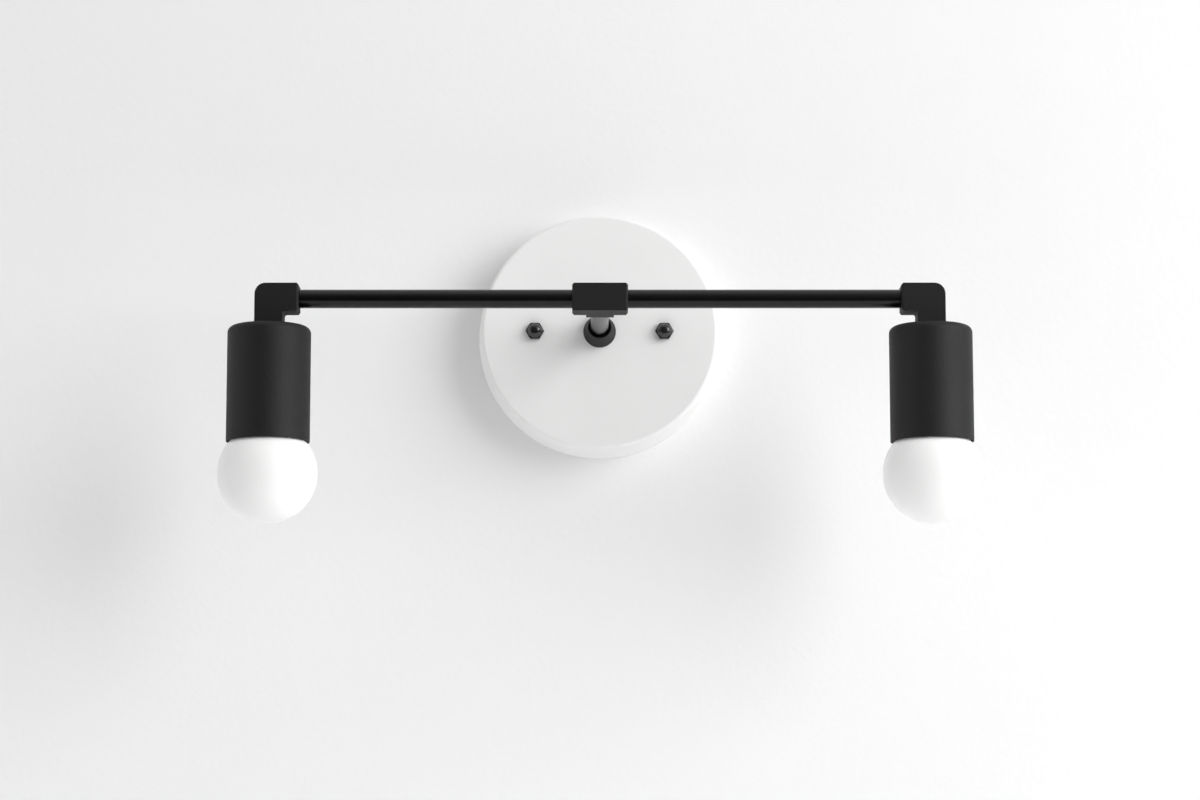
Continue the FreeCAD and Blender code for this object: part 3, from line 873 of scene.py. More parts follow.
class Recipe(Graph):
    """A geometry tree with named inputs, which makes plain meshes."""

    def __init__(self, name: str) -> None:
        """Start a tree that takes a shape and gives a shape.

        Args:
            name: Name of the tree.
        """
        super().__init__(bpy.data.node_groups.new(name, "GeometryNodeTree"))
        self.keys: dict[str, str] = {}
        for way in ("OUTPUT", "INPUT"):
            self.tree.interface.new_socket("Geometry", in_out=way, socket_type="NodeSocketGeometry")
        self.entry = self.tree.nodes.new("NodeGroupInput")

    def size(self, name: str, kind: str = "Float") -> Wire:
        """Add a named input.

        Args:
            name: The input's name.
            kind: Float, Int, Vector or Material.

        Returns:
            The input as a wire.
        """
        item = self.tree.interface.new_socket(name, in_out="INPUT", socket_type="NodeSocket" + kind)
        self.keys[name] = item.identifier
        return Wire(self, self.entry.outputs[name])

    def sizes(self, names: str) -> list[Wire]:
        """Add several number inputs, whose names stand in one string."""
        return [self.size(name) for name in names.split()]

    def grid(self, rows: Term) -> tuple[Wire, Wire, Wire]:
        """Make a grid that later becomes a surface of revolution.

        Args:
            rows: Lines of points along it.

        Returns:
            The grid, the angle round the axis and the row's number.
        """
        sides = self.size("sides", "Int")
        sockets = {"Size X": 1.0, "Size Y": 1.0, "Vertices X": sides + 1, "Vertices Y": rows}
        mesh = self.node("GeometryNodeMeshGrid", sockets)
        split = self.node("ShaderNodeSeparateXYZ", {0: self.node("GeometryNodeInputPosition")})
        across = Wire(self, split.socket.node.outputs["Y"])
        return mesh, (split + 0.5) * math.tau, (across + 0.5) * (rows - 1)

    def wrap(self, mesh: Wire, angle: Wire, radius: Wire, height: Wire) -> Wire:
        """Roll a grid up into a surface of revolution with welded seams.

        Args:
            mesh: The grid.
            angle: Angle round the axis.
            radius: Distance from the axis.
            height: Height along it.

        Returns:
            The closed surface.
        """
        sockets = {0: radius * angle.cosine(), 1: radius * angle.sine(), 2: height}
        place = self.node("ShaderNodeCombineXYZ", sockets)
        rolled = self.node("GeometryNodeSetPosition", {"Geometry": mesh, "Position": place})
        return self.node("GeometryNodeMergeByDistance", {"Geometry": rolled, "Distance": WELD})

    @staticmethod
    def wave(angle: Wire, height: Wire, pitch: Wire) -> Wire:
        """Depth of a rolled right-hand thread, from 0 on its crests to 1 in its roots."""
        return 0.5 - (angle - height * math.tau / pitch).cosine() * 0.5

    def there_and_back(self, row: Wire, rows: Wire) -> tuple[Wire, Wire]:
        """Share along a wall that runs up its outer face and down its inner one.

        Args:
            row: The row's number.
            rows: Rows on each face.

        Returns:
            The share from 0 at the bottom to 1 at the top, and 1 on the inner face.
        """
        outer = (row / (rows - 1)).least(1.0)
        inner = (1 - (row - rows) / (rows - 1)).most(0.0)
        back = row.above(rows - 0.5)
        return outer + (inner - outer) * back, back * (1 - row.above(rows * 2 - 0.5))

    def copies(self, points: Wire, **sockets: Wire) -> None:
        """End the tree in copies of the shape that it starts from, one at each point."""
        start = Wire(self, self.entry.outputs["Geometry"])
        self.end(self.node("GeometryNodeInstanceOnPoints", {"Points": points, "Instance": start, **sockets}))

    def end(self, shape: Wire) -> None:
        """Realize the instances, set the material and close the tree.

        Args:
            shape: What the tree gives.
        """
        real = self.node("GeometryNodeRealizeInstances", {"Geometry": shape})
        sockets = {"Geometry": real, "Material": self.size("finish", "Material")}
        self.deliver("NodeGroupOutput", "Geometry", self.node("GeometryNodeSetMaterial", sockets))

    @classmethod
    @cache
    def made(cls) -> "Recipe":
        """The tree, built the first time it is asked for."""
        return cls()

    @classmethod
    def build(cls, name: str, coat: Coats, seed: Piece | None = None, **sizes: object) -> Piece:
        """Run the tree once.

        Args:
            name: Name of the piece.
            coat: Its finish.
            seed: A shape that the tree starts from, which is used up.
            sizes: Values of the named inputs.

        Returns:
            The piece as a plain mesh.
        """
        piece = add_object(name, seed.data if seed else bpy.data.meshes.new(name))
        if seed:
            bpy.data.objects.remove(seed)
        step = piece.modifiers.new("recipe", "NODES")
        step.node_group = cls.made().tree
        for key, value in {**sizes, "finish": coat.value.material()}.items():
            step[cls.made().keys[key]] = value
        tidy_mesh(bake_shape(piece).data)
        return piece


class ThreadRecipe(Recipe):
    """Bar or tube with a rolled right-hand thread and chamfered ends."""

    def __init__(self) -> None:
        """Build the tree."""
        super().__init__("threaded_bar")
        radius, depth, pitch, bore, low, high = self.sizes("radius depth pitch bore bottom top")
        rows = self.size("rows", "Int")
        mesh, angle, row = self.grid(rows + 3)
        share = ((row - 1) / (rows - 1)).most(0.0).least(1.0) * (1 - row.above(rows + 1.5))
        height = low + (high - low) * share
        end = (height - low).least(high - height)
        thread = (radius - depth * self.wave(angle, height, pitch)).least(radius - depth + end)
        inside = (1 - row.above(0.5)).most(row.above(rows + 0.5))
        rolled = self.wrap(mesh, angle, thread + (bore - thread) * inside, height)
        area = self.node("GeometryNodeInputMeshFaceArea")
        sliver = self.node("FunctionNodeCompare", {0: area, 1: WELD * WELD}, operation="LESS_THAN")
        sockets = {"Geometry": rolled, "Selection": sliver}
        self.end(self.node("GeometryNodeDeleteGeometry", sockets, domain="FACE"))


class RolledShellRecipe(Recipe):
    """Thin shell with a screw thread rolled into both of its faces."""

    def __init__(self) -> None:
        """Build the tree."""
        super().__init__("rolled_shell")
        radius, depth, pitch, wall, low, high = self.sizes("radius depth pitch wall bottom top")
        low_plain, high_plain, mouth, slope = self.sizes("plain_bottom plain_top top_radius top_slope")
        rows = self.size("rows", "Int")
        mesh, angle, row = self.grid(rows * 2 + 1)
        share, inside = self.there_and_back(row, rows)
        height = low + (high - low) * share
        run = (height - low).eased(low_plain * 0.5, low_plain)
        run = run * (high - height).eased(high_plain * 0.5, high_plain)
        outer = radius - depth * self.wave(angle, height, pitch) * run
        outer = outer.least(mouth + slope * (high - height))
        self.end(self.wrap(mesh, angle, outer - wall * inside, height))


class GlobeRecipe(Recipe):
    """Hollow globe whose shoulder flows into a neck."""

    def __init__(self) -> None:
        """Build the tree."""
        super().__init__("hollow_globe")
        globe, centre, neck, top, wall = self.sizes("globe_radius centre neck_radius neck_top wall")
        shoulder, part, lean, rise = self.sizes("shoulder ball_share lean neck_rise")
        rows = self.size("rows", "Int")
        mesh, angle, row = self.grid(rows * 2)
        share, inside = self.there_and_back(row, rows)
        ball = globe - wall * inside
        turn = (share / part).least(1.0) * (shoulder + math.pi / 2) - math.pi / 2
        step = ((share - part) / (1 - part)).most(0.0)
        start_r = ball * shoulder.cosine()
        start_z = centre + ball * shoulder.sine()
        end_r = neck - wall * inside
        flow_r = self.bezier(step, start_r, start_r - lean * shoulder.sine(), end_r, end_r)
        flow_z = self.bezier(step, start_z, start_z + lean * shoulder.cosine(), top - rise, top)
        past = step.above(0.0)
        radius = ball * turn.cosine() * (1 - past) + flow_r * past
        height = (centre + ball * turn.sine()) * (1 - past) + flow_z * past
        self.end(self.wrap(mesh, angle, radius, height))

    @staticmethod
    def bezier(step: Wire, first: Wire, second: Wire, third: Wire, fourth: Wire) -> Wire:
        """Coordinate on a cubic curve.

        Args:
            step: From 0 at the first point to 1 at the fourth.
            first: Start.
            second: Handle of the start.
            third: Handle of the end.
            fourth: End.

        Returns:
            The coordinate at that step.
        """
        rest = 1 - step
        outward = rest * rest * (rest * first + 3 * step * second)
        return outward + step * step * (3 * rest * third + step * fourth)


class RowRecipe(Recipe):
    """Copies of a shape at even steps along a line."""

    def __init__(self) -> None:
        """Build the tree."""
        super().__init__("even_row")
        sockets = {"Count": self.size("count", "Int"), "Start Location": self.size("start", "Vector")}
        sockets["Offset"] = self.size("step", "Vector")
        self.copies(self.node("GeometryNodeMeshLine", sockets, mode="OFFSET"))

    @classmethod
    def pair(cls, name: str, coat: Coats, seed: Piece, first: Point, second: Point) -> Piece:
        """Put one copy of a shape at each of two places.

        Args:
            name: Name of the piece.
            coat: Its finish.
            seed: The shape, which is used up.
            first: Place of one copy.
            second: Place of the other.

        Returns:
            The pair as one piece.
        """
        step = tuple(b - a for a, b in zip(first, second))
        return cls.build(name, coat, seed, count=2, start=first, step=step)


class RingRecipe(Recipe):
    """Copies of a shape at even turns round the axis."""

    def __init__(self) -> None:
        """Build the tree."""
        super().__init__("round_row")
        count = self.size("count", "Int")
        turn = self.node("GeometryNodeInputIndex") * math.tau / count
        rotation = self.node("ShaderNodeCombineXYZ", {2: turn})
        self.copies(self.node("GeometryNodePoints", {"Count": count}), Rotation=rotation)


class CoilRecipe(Recipe):
    """Round wire wound into a coil."""

    def __init__(self) -> None:
        """Build the tree."""
        super().__init__("wire_coil")
        radius, length, turns, wire = self.sizes("radius length turns wire_radius")
        sockets = {"Resolution": 14, "Rotations": turns, "Height": length}
        sockets |= {"Start Radius": radius, "End Radius": radius}
        line = self.node("GeometryNodeCurveSpiral", sockets)
        ring = self.node("GeometryNodeCurvePrimitiveCircle", {"Resolution": 8, "Radius": wire})
        sockets = {"Curve": line, "Profile Curve": ring, "Fill Caps": True}
        self.end(self.node("GeometryNodeCurveToMesh", sockets))


FIXTURE = "fixture"
TUBE_RADIUS = 4.7625
TUBE_BORE = 3.4
TUBE_PITCH = 0.941
TUBE_HOLE = TUBE_RADIUS + 0.3
TUBE_TAP = TUBE_RADIUS + 0.05
ARM_OUT = 124.5
CUP_X = 168.3
CUP_TOP = -14.4
SOCKET_TOP = -30.9
SOCKET_FLOOR = -35.1
LAMP_THREAD = {"depth": 0.72, "pitch": 25.4 / 7, "sides": 64, "rows": 84}


def settle(piece: Piece, coat: Coats, node: str, spindle: Spindle = FRAME_AXES, body: str = FIXTURE) -> None:
    """Place a piece, dress it and put it on its body.

    Args:
        piece: The piece, in millimetres on its spindle.
        coat: Its finish.
        node: CAD node that it stands for.
        spindle: Where it is.
        body: The body that it rides on.
    """
    piece.data.transform(spindle.matrix())
    piece.data.materials.clear()
    piece.data.materials.append(coat.value.material())
    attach(piece, body)
    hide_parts(node)
    log.info("%s rides on %s in %s, %d faces", piece.name, body, coat.value.slot, len(piece.data.polygons))


def settle_solid(node: str, name: str, coat: Coats, width: float, segments: int = 2) -> None:
    """Round the edges of a CAD node's solid and settle it in its place.

    Args:
        node: The node.
        name: Name of the piece.
        coat: Its finish.
        width: Width of the rounding.
        segments: Faces across it.
    """
    cage = bmesh.new()
    cage.from_mesh(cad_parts[node].data)
    cage.transform(Matrix.Diagonal((1 / MM, 1 / MM, 1 / MM, 1.0)))
    bmesh.ops.remove_doubles(cage, verts=cage.verts, dist=WELD)
    bmesh.ops.dissolve_limit(cage, angle_limit=FLAT_ANGLE, verts=cage.verts, edges=cage.edges)
    settle(edge_rounded(add_object(name, mesh_of(name, cage)), width, segments), coat, node)


@dataclass
class WallMount:
    """Canopy with its studs and nuts, and the bar that carries them."""

    rim_radius: float = 65.9
    face_radius: float = 63.7
    depth: float = 25.8
    wall: float = 1.2
    edge: float = 2.0
    stud_x: float = 34.925
    stud_radius: float = 2.08
    stud_hole: float = 2.38
    stud_tap: float = 2.13
    stud_reach: float = 3.3
    stud_thread: float = 0.34
    thread_pitch: float = 0.794
    overrun: float = 2.0
    nut_flats: float = 8.73
    cap_height: float = 3.2
    dome_base: float = 1.0
    dome_inset: float = 0.45
    dome_flat: float = 0.9
    dome_rise: float = 3.1
    dome_steps: int = 8
    lock_height: float = 3.1
    bar_thickness: float = 2.0
    ground_x: float = -20.0
    ground_radius: float = 2.38
    ground_thread: float = 0.36
    ground_point: float = -3.0
    ground_flats: float = 6.3
    ground_head: float = 2.2
    flange_radius: float = 4.4
    eye_radius: float = 5.2
    eye_bore: float = 2.43
    eye_thickness: float = 0.8
    wire_radius: float = 0.8
    wire_turn_z: float = -21.7

    def build(self) -> None:
        """Make and dress every piece of the mount."""
        self.canopy()
        self.studs()
        self.nuts()
        settle_solid("mounting_bar", "mounting_strap", Coats.ZINC, 0.25)
        self.ground_screw()
        self.ground_lead()

    def pair(self, name: str, seed: Piece, coat: Coats, node: str) -> None:
        """Settle two copies of a shape, one at each stud."""
        ends = (-self.stud_x, 0.0, 0.0), (self.stud_x, 0.0, 0.0)
        settle(RowRecipe.pair(name, coat, seed, *ends), coat, node, WALL_AXIS)

    def canopy(self) -> None:
        """Spun pan with a soft edge, open to the wall."""
        inside = self.depth - self.wall
        corners = [
            (TUBE_HOLE, inside),
            (self.face_radius - self.wall, inside, 1.0),
            (self.rim_radius - self.wall, 0.0),
            (self.rim_radius, 0.0, 0.3),
            (self.face_radius, self.depth, self.edge),
            (TUBE_HOLE, self.depth, 0.2),
        ]
        pan = turned("canopy_pan", corners, sides=160, steps=8)
        for x in (-self.stud_x, self.stud_x):
            pan = bored(pan, self.stud_hole, inside - self.overrun, self.depth + self.overrun, x=x)
        settle(pan, Coats.CANOPY, "canopy", WALL_AXIS)

    def studs(self) -> None:
        """Threaded studs from the bar to the cap nuts."""
        cut = {"radius": self.stud_radius, "bore": 0.0, "depth": self.stud_thread, "pitch": self.thread_pitch}
        top = self.depth + self.stud_reach
        stud = ThreadRecipe.build("stud_seed", Coats.ZINC, bottom=0.0, top=top, rows=290, sides=18, **cut)
        self.pair("canopy_stud_pair", stud, Coats.ZINC, "canopy_studs")

    def nuts(self) -> None:
        """Cap nuts on the face and lock nuts on the bar."""
        top = self.depth + self.cap_height
        dome_radius = self.nut_flats / 2 - self.dome_inset
        dome = [(0.0, self.depth + self.dome_base), (dome_radius, self.depth + self.dome_base)]
        for i in range(self.dome_steps + 1):
            angle = math.pi / 2 * i / self.dome_steps
            radius = self.dome_flat + (dome_radius - self.dome_flat) * math.cos(angle)
            dome.append((radius, top + self.dome_rise * math.sin(angle)))
        dome.append((0.0, top + self.dome_rise))
        cap = hexagonal("cap_hexagon", self.nut_flats, self.depth, top)
        cap = combine(cap, turned("cap_dome", dome, False, 48), "UNION")
        self.pair("cap_nut_pair", edge_rounded(cap, 0.14), Coats.NUT, "cap_nuts")
        low, high = self.bar_thickness, self.bar_thickness + self.lock_height
        lock = hexagonal("lock_hexagon", self.nut_flats, low, high)
        lock = bored(lock, self.stud_tap, low - self.overrun, high + self.overrun)
        self.pair("stud_lock_nut_pair", edge_rounded(lock, 0.1), Coats.ZINC, "stud_lock_nuts")

    def ground_screw(self) -> None:
        """Slotted hexagonal ground screw with a washer face."""
        seat = self.bar_thickness + self.eye_thickness
        head = seat + self.ground_head
        rim, sunk, slot_half, slot_depth = self.flange_radius, 0.3, 0.5, 1.0
        outline = [(0.0, seat), (rim, seat, 0.1), (rim, seat + 0.6, 0.25), (0.0, seat + 0.9)]
        crown = hexagonal("crown", self.ground_flats, seat + sunk, head)
        crown = combine(turned("flange", outline, False, 48), crown, "UNION")
        slot = cuboid("slot", (-5.0, -slot_half, head - slot_depth), (5.0, slot_half, head + slot_depth))
        crown = combine(crown, slot, "DIFFERENCE")
        sizes = {"radius": self.ground_radius, "bore": 0.0, "bottom": self.ground_point, "top": seat + sunk}
        sizes |= {"depth": self.ground_thread, "pitch": self.thread_pitch, "rows": 60, "sides": 20}
        shank = ThreadRecipe.build("shank", Coats.GREEN, **sizes)
        screw = joined("ground_screw_slotted", edge_rounded(crown, 0.1), shank)
        settle(screw, Coats.GREEN, "ground_screw", Spindle((self.ground_x, 0.0, 0.0), Heading.OUT))

    def ground_lead(self) -> None:
        """Bare lead that runs into an eye under the ground screw."""
        low, bore, rim, turn_z = self.bar_thickness, self.eye_bore, self.eye_radius, self.wire_turn_z
        high = low + self.eye_thickness
        eye = turned("eye", [(bore, low), (rim, low, 0.25), (rim, high, 0.25), (bore, high)], sides=48)
        eye = moved(eye, Spindle((self.ground_x, 0.0, 0.0), Heading.OUT))
        route = [(0.0, z) for z in (-4.7, -9.0, -15.0, turn_z)]
        route += [(x, turn_z) for x in (-6.5, -11.0, -16.0)]
        points = [Vector((self.ground_x + x, -low - self.eye_thickness, z)) for x, z in route]
        lead = joined("ground_wire_and_eye", eye, wire_tube("ground_wire", points, self.wire_radius))
        settle(lead, Coats.COPPER, "ground_lead")


@dataclass
class Stem:
    """Seating ring, stem tube and the fastening inside the canopy."""

    face_out: float = 25.8
    inside_out: float = 24.6
    ring_front: float = 41.45
    ring_back_radius: float = 8.85
    ring_front_radius: float = 6.25
    recess_radius: float = 5.95
    recess_depth: float = 3.2
    tube_back: float = 19.0
    tube_front: float = 115.85
    thread_overlap: float = 0.4
    nut_back: float = 20.7
    washer_back: float = 23.7

    def build(self) -> None:
        """Make and dress every piece of the stem."""
        recess = self.ring_front - self.recess_depth
        corners = [
            (TUBE_TAP, self.face_out),
            (self.ring_back_radius, self.face_out, 0.35),
            (self.ring_front_radius, self.ring_front, 0.2),
            (self.recess_radius, self.ring_front, 0.1),
            (self.recess_radius, recess, 0.3),
            (TUBE_TAP, recess),
        ]
        settle(turned("seating_cone", corners, sides=96), Coats.FITTING, "seating_ring", WALL_AXIS)
        tail = tube_thread("stem_tail", Coats.SATIN, self.tube_back, self.inside_out)
        outline = tube_outline(self.inside_out - self.thread_overlap, self.tube_front)
        barrel = joined("stem_barrel", turned("barrel", outline, sides=96), tail)
        settle(barrel, Coats.SATIN, "stem_tube", WALL_AXIS)
        washer = toothed_washer("stem_toothed_washer", self.washer_back, self.inside_out)
        settle(washer, Coats.ZINC, "stem_lock_washer", WALL_AXIS)
        nut = tube_nut("stem_hex_nut", self.nut_back, self.washer_back)
        settle(nut, Coats.ZINC, "stem_lock_nut", WALL_AXIS)


def tube_outline(bottom: float, top: float) -> Corners:
    """Outline of a plain length of tube with broken edges, in bands that are short enough to shade cleanly.

    Args:
        bottom: Lower height.
        top: Upper height.

    Returns:
        The outline's corners.
    """
    broken, band = 0.2, 6.0
    count = round((top - bottom) / band)
    levels = [bottom + (top - bottom) * i / count for i in range(1, count)]
    outside = [(TUBE_RADIUS, level) for level in levels]
    inside = [(TUBE_BORE, level) for level in [top, *reversed(levels), bottom]]
    return [(TUBE_RADIUS, bottom, broken), *outside, (TUBE_RADIUS, top, broken), *inside]


def tube_thread(name: str, coat: Coats, bottom: float, top: float) -> Piece:
    """Threaded length of tube.

    Args:
        name: Name of the piece.
        coat: Its finish.
        bottom: Lower height.
        top: Upper height.

    Returns:
        The threaded tube.
    """
    rows_a_turn = 10
    rows = int((top - bottom) / TUBE_PITCH * rows_a_turn)
    cut = {"radius": TUBE_RADIUS, "depth": 0.42, "pitch": TUBE_PITCH, "bore": TUBE_BORE}
    return ThreadRecipe.build(name, coat, bottom=bottom, top=top, rows=rows, sides=40, **cut)


def toothed_washer(name: str, bottom: float, top: float) -> Piece:
    """Lock washer with twisted teeth round its edge.

    Args:
        name: Name of the piece.
        bottom: Lower height.
        top: Upper height.

    Returns:
        The washer.
    """
    teeth, twist, rim_radius, half_sheet = 14, math.radians(14), 6.9, 0.3
    middle = (bottom + top) / 2
    tooth = cuboid("tooth", (6.4, -0.75, -0.2), (8.15, 0.75, 0.2))
    tooth.data.transform(Matrix.Translation((0.0, 0.0, middle)) @ Matrix.Rotation(twist, 4, "X"))
    edge = RingRecipe.build("teeth", Coats.ZINC, tooth, count=teeth)
    low, high = middle - half_sheet, middle + half_sheet
    outline = [(TUBE_HOLE, low), (rim_radius, low, 0.1), (rim_radius, high, 0.1), (TUBE_HOLE, high)]
    rim = turned("rim", outline)
    return joined(name, rim, edge)


def tube_nut(name: str, bottom: float, top: float) -> Piece:
    """Thin hex nut that fits the tube.

    Args:
        name: Name of the piece.
        bottom: Lower height.
        top: Upper height.

    Returns:
        The nut.
    """
    flats, overrun = 14.3, 1.0
    nut = bored(hexagonal(name, flats, bottom, top), TUBE_TAP, bottom - overrun, top + overrun, 64)
    return edge_rounded(nut, 0.15)


def slotted_screw(coat: Coats, seat: float, head: float, height: float) -> Piece:
    """Small round-headed screw with a slot, whose point is in the socket's floor.

    Args:
        coat: Its finish.
        seat: Height at which the head seats.
        head: Radius of the head.
        height: Height of the head.

    Returns:
        The screw, centred on its own axis.
    """
    top, slot_half, overrun = seat + height, 0.35, 1.0
    side_share, crown_share, slot_share = 0.97, 0.55, 0.45
    corners = [(0.0, seat), (head, seat, 0.1), (head * side_share, seat + height * crown_share, 0.3)]
    corners += [(head * crown_share, top, 0.8), (0.0, top)]
    crown = turned("crown", corners, False, 40)
    slot_low = (-head - overrun, -slot_half, top - height * slot_share)
    slot = cuboid("slot", slot_low, (head + overrun, slot_half, top + overrun))
    crown = edge_rounded(combine(crown, slot, "DIFFERENCE"), 0.06)
    cut = {"radius": 1.4, "bore": 0.0, "depth": 0.22, "pitch": 0.6, "rows": 64, "sides": 14}
    shank = ThreadRecipe.build("shank", coat, bottom=SOCKET_FLOOR + 1.0, top=seat + 0.2, **cut)
    return joined("screw", crown, shank)


class Side(Enum):
    """The two ends of the light."""

    LEFT = -1
    RIGHT = 1

    def named(self, word: str) -> str:
        """A name with the side in front."""
        return f"{self.name.lower()}_{word}"

    def cup_axis(self) -> Spindle:
        """The upright line through this side's cup."""
        return Spindle((self.value * CUP_X, -ARM_OUT, 0.0))


@dataclass
class Arms:
    """Tee, two arms and two elbows."""

    softness: float = 0.22
    tube_start: float = 7.85
    tube_end: float = 159.55

    def build(self) -> None:
        """Make and dress every piece of the arms."""
        settle_solid("tee_fitting", "tee_block", Coats.FITTING, self.softness, 3)
        for side in Side:
            named = side.named
            settle_solid(named("elbow_fitting"), named("elbow_block"), Coats.FITTING, self.softness, 3)
            tube = turned(named("arm_barrel"), tube_outline(self.tube_start, self.tube_end), sides=96)
            settle(tube, Coats.SATIN, named("arm_tube"), Spindle((0.0, -ARM_OUT, 0.0), Heading[side.name]))


@dataclass
class LampHolder:
    """One hanging cup with the socket inside it."""

    side: Side
    radius: float = 21.2
    wall: float = 1.0
    bottom: float = -73.6
    shoulder: float = 3.5
    nipple_top: float = -8.05
    nipple_bottom: float = -23.5
    washer_bottom: float = -16.3
    nut_bottom: float = -19.3
    bracket_sheet: float = 1.5
    bracket_head: float = 2.6
    bracket_head_height: float = 1.6
    terminal_sheet: float = 0.8
    terminal_head: float = 3.0
    terminal_head_height: float = 1.8
    hot_y: float = -9.0
    neutral_y: float = 7.6
    shell_radius: float = 13.7
    shell_wall: float = 0.4
    shell_bottom: float = -59.7

    def build(self) -> None:
        """Make and dress every piece of the holder."""
        self.cup()
        self.nipple()
        self.bracket()
        self.socket()

    def put(self, piece: Piece, coat: Coats, node: str) -> None:
        """Settle a piece that stands on the cup's axis."""
        settle(piece, coat, self.side.named(node), self.side.cup_axis())

    def cup(self) -> None:
        """Drawn cup with a rounded top."""
        inner = self.radius - self.wall
        corners = [
            (TUBE_HOLE, CUP_TOP - self.wall),
            (inner, CUP_TOP - self.wall, self.shoulder - self.wall),
            (inner, self.bottom, 0.25),
            (self.radius, self.bottom, 0.35),
            (self.radius, CUP_TOP, self.shoulder),
            (TUBE_HOLE, CUP_TOP),
        ]
        self.put(turned(self.side.named("cup_shell"), corners, sides=128, steps=10), Coats.CUP, "lamp_cup")

    def nipple(self) -> None:
        """Threaded nipple with its washer and nut."""
        named = self.side.named
        pipe = tube_thread(named("threaded_nipple"), Coats.ZINC, self.nipple_bottom, self.nipple_top)
        self.put(pipe, Coats.ZINC, "cup_nipple")
        washer = toothed_washer(named("toothed_washer"), self.washer_bottom, CUP_TOP - self.wall)
        self.put(washer, Coats.ZINC, "cup_lock_washer")
        self.put(tube_nut(named("hex_nut"), self.nut_bottom, self.washer_bottom), Coats.ZINC, "cup_lock_nut")

    def bracket(self) -> None:
        """Bent strap and the two screws in its feet."""
        named = self.side.named
        settle_solid(named("socket_bracket"), named("bracket_strap"), Coats.ZINC, 0.2)
        low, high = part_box(named("bracket_screws"))
        reach = (high.x - low.x) / MM / 2 - self.bracket_head
        seat = SOCKET_TOP + self.bracket_sheet
        screw = slotted_screw(Coats.ZINC, seat, self.bracket_head, self.bracket_head_height)
        ends = (-reach, 0.0, 0.0), (reach, 0.0, 0.0)
        pair = RowRecipe.pair(named("bracket_screw_pair"), Coats.ZINC, screw, *ends)
        self.put(pair, Coats.ZINC, "bracket_screws")

    def socket(self) -> None:
        """Moulded socket, its screw shell, contacts and terminal screws."""
        named = self.side.named
        settle_solid(named("socket_body"), named("socket_moulding"), Coats.PHENOLIC, 0.25)
        sizes = {"plain_bottom": 1.6, "plain_top": 2.6, "top_radius": 7.5, "top_slope": 14.0}
        sizes |= {"bottom": self.shell_bottom, "top": SOCKET_FLOOR}
        sizes |= {"radius": self.shell_radius, "wall": self.shell_wall}
        shell = RolledShellRecipe.build(named("threaded_shell"), Coats.ALUMINIUM, **sizes, **LAMP_THREAD)
        self.put(shell, Coats.ALUMINIUM, "screw_shell")
        settle_solid(named("centre_contact"), named("contact_button"), Coats.BRASS, 0.12)
        settle_solid(named("shell_terminal"), named("neutral_tab"), Coats.BRASS, 0.12)
        seat = SOCKET_TOP + self.terminal_sheet
        screw = slotted_screw(Coats.BRASS, seat, self.terminal_head, self.terminal_head_height)
        ends = (0.0, self.hot_y, 0.0), (0.0, self.neutral_y, 0.0)
        pair = RowRecipe.pair(named("terminal_screw_pair"), Coats.BRASS, screw, *ends)
        self.put(pair, Coats.BRASS, "terminal_screws")


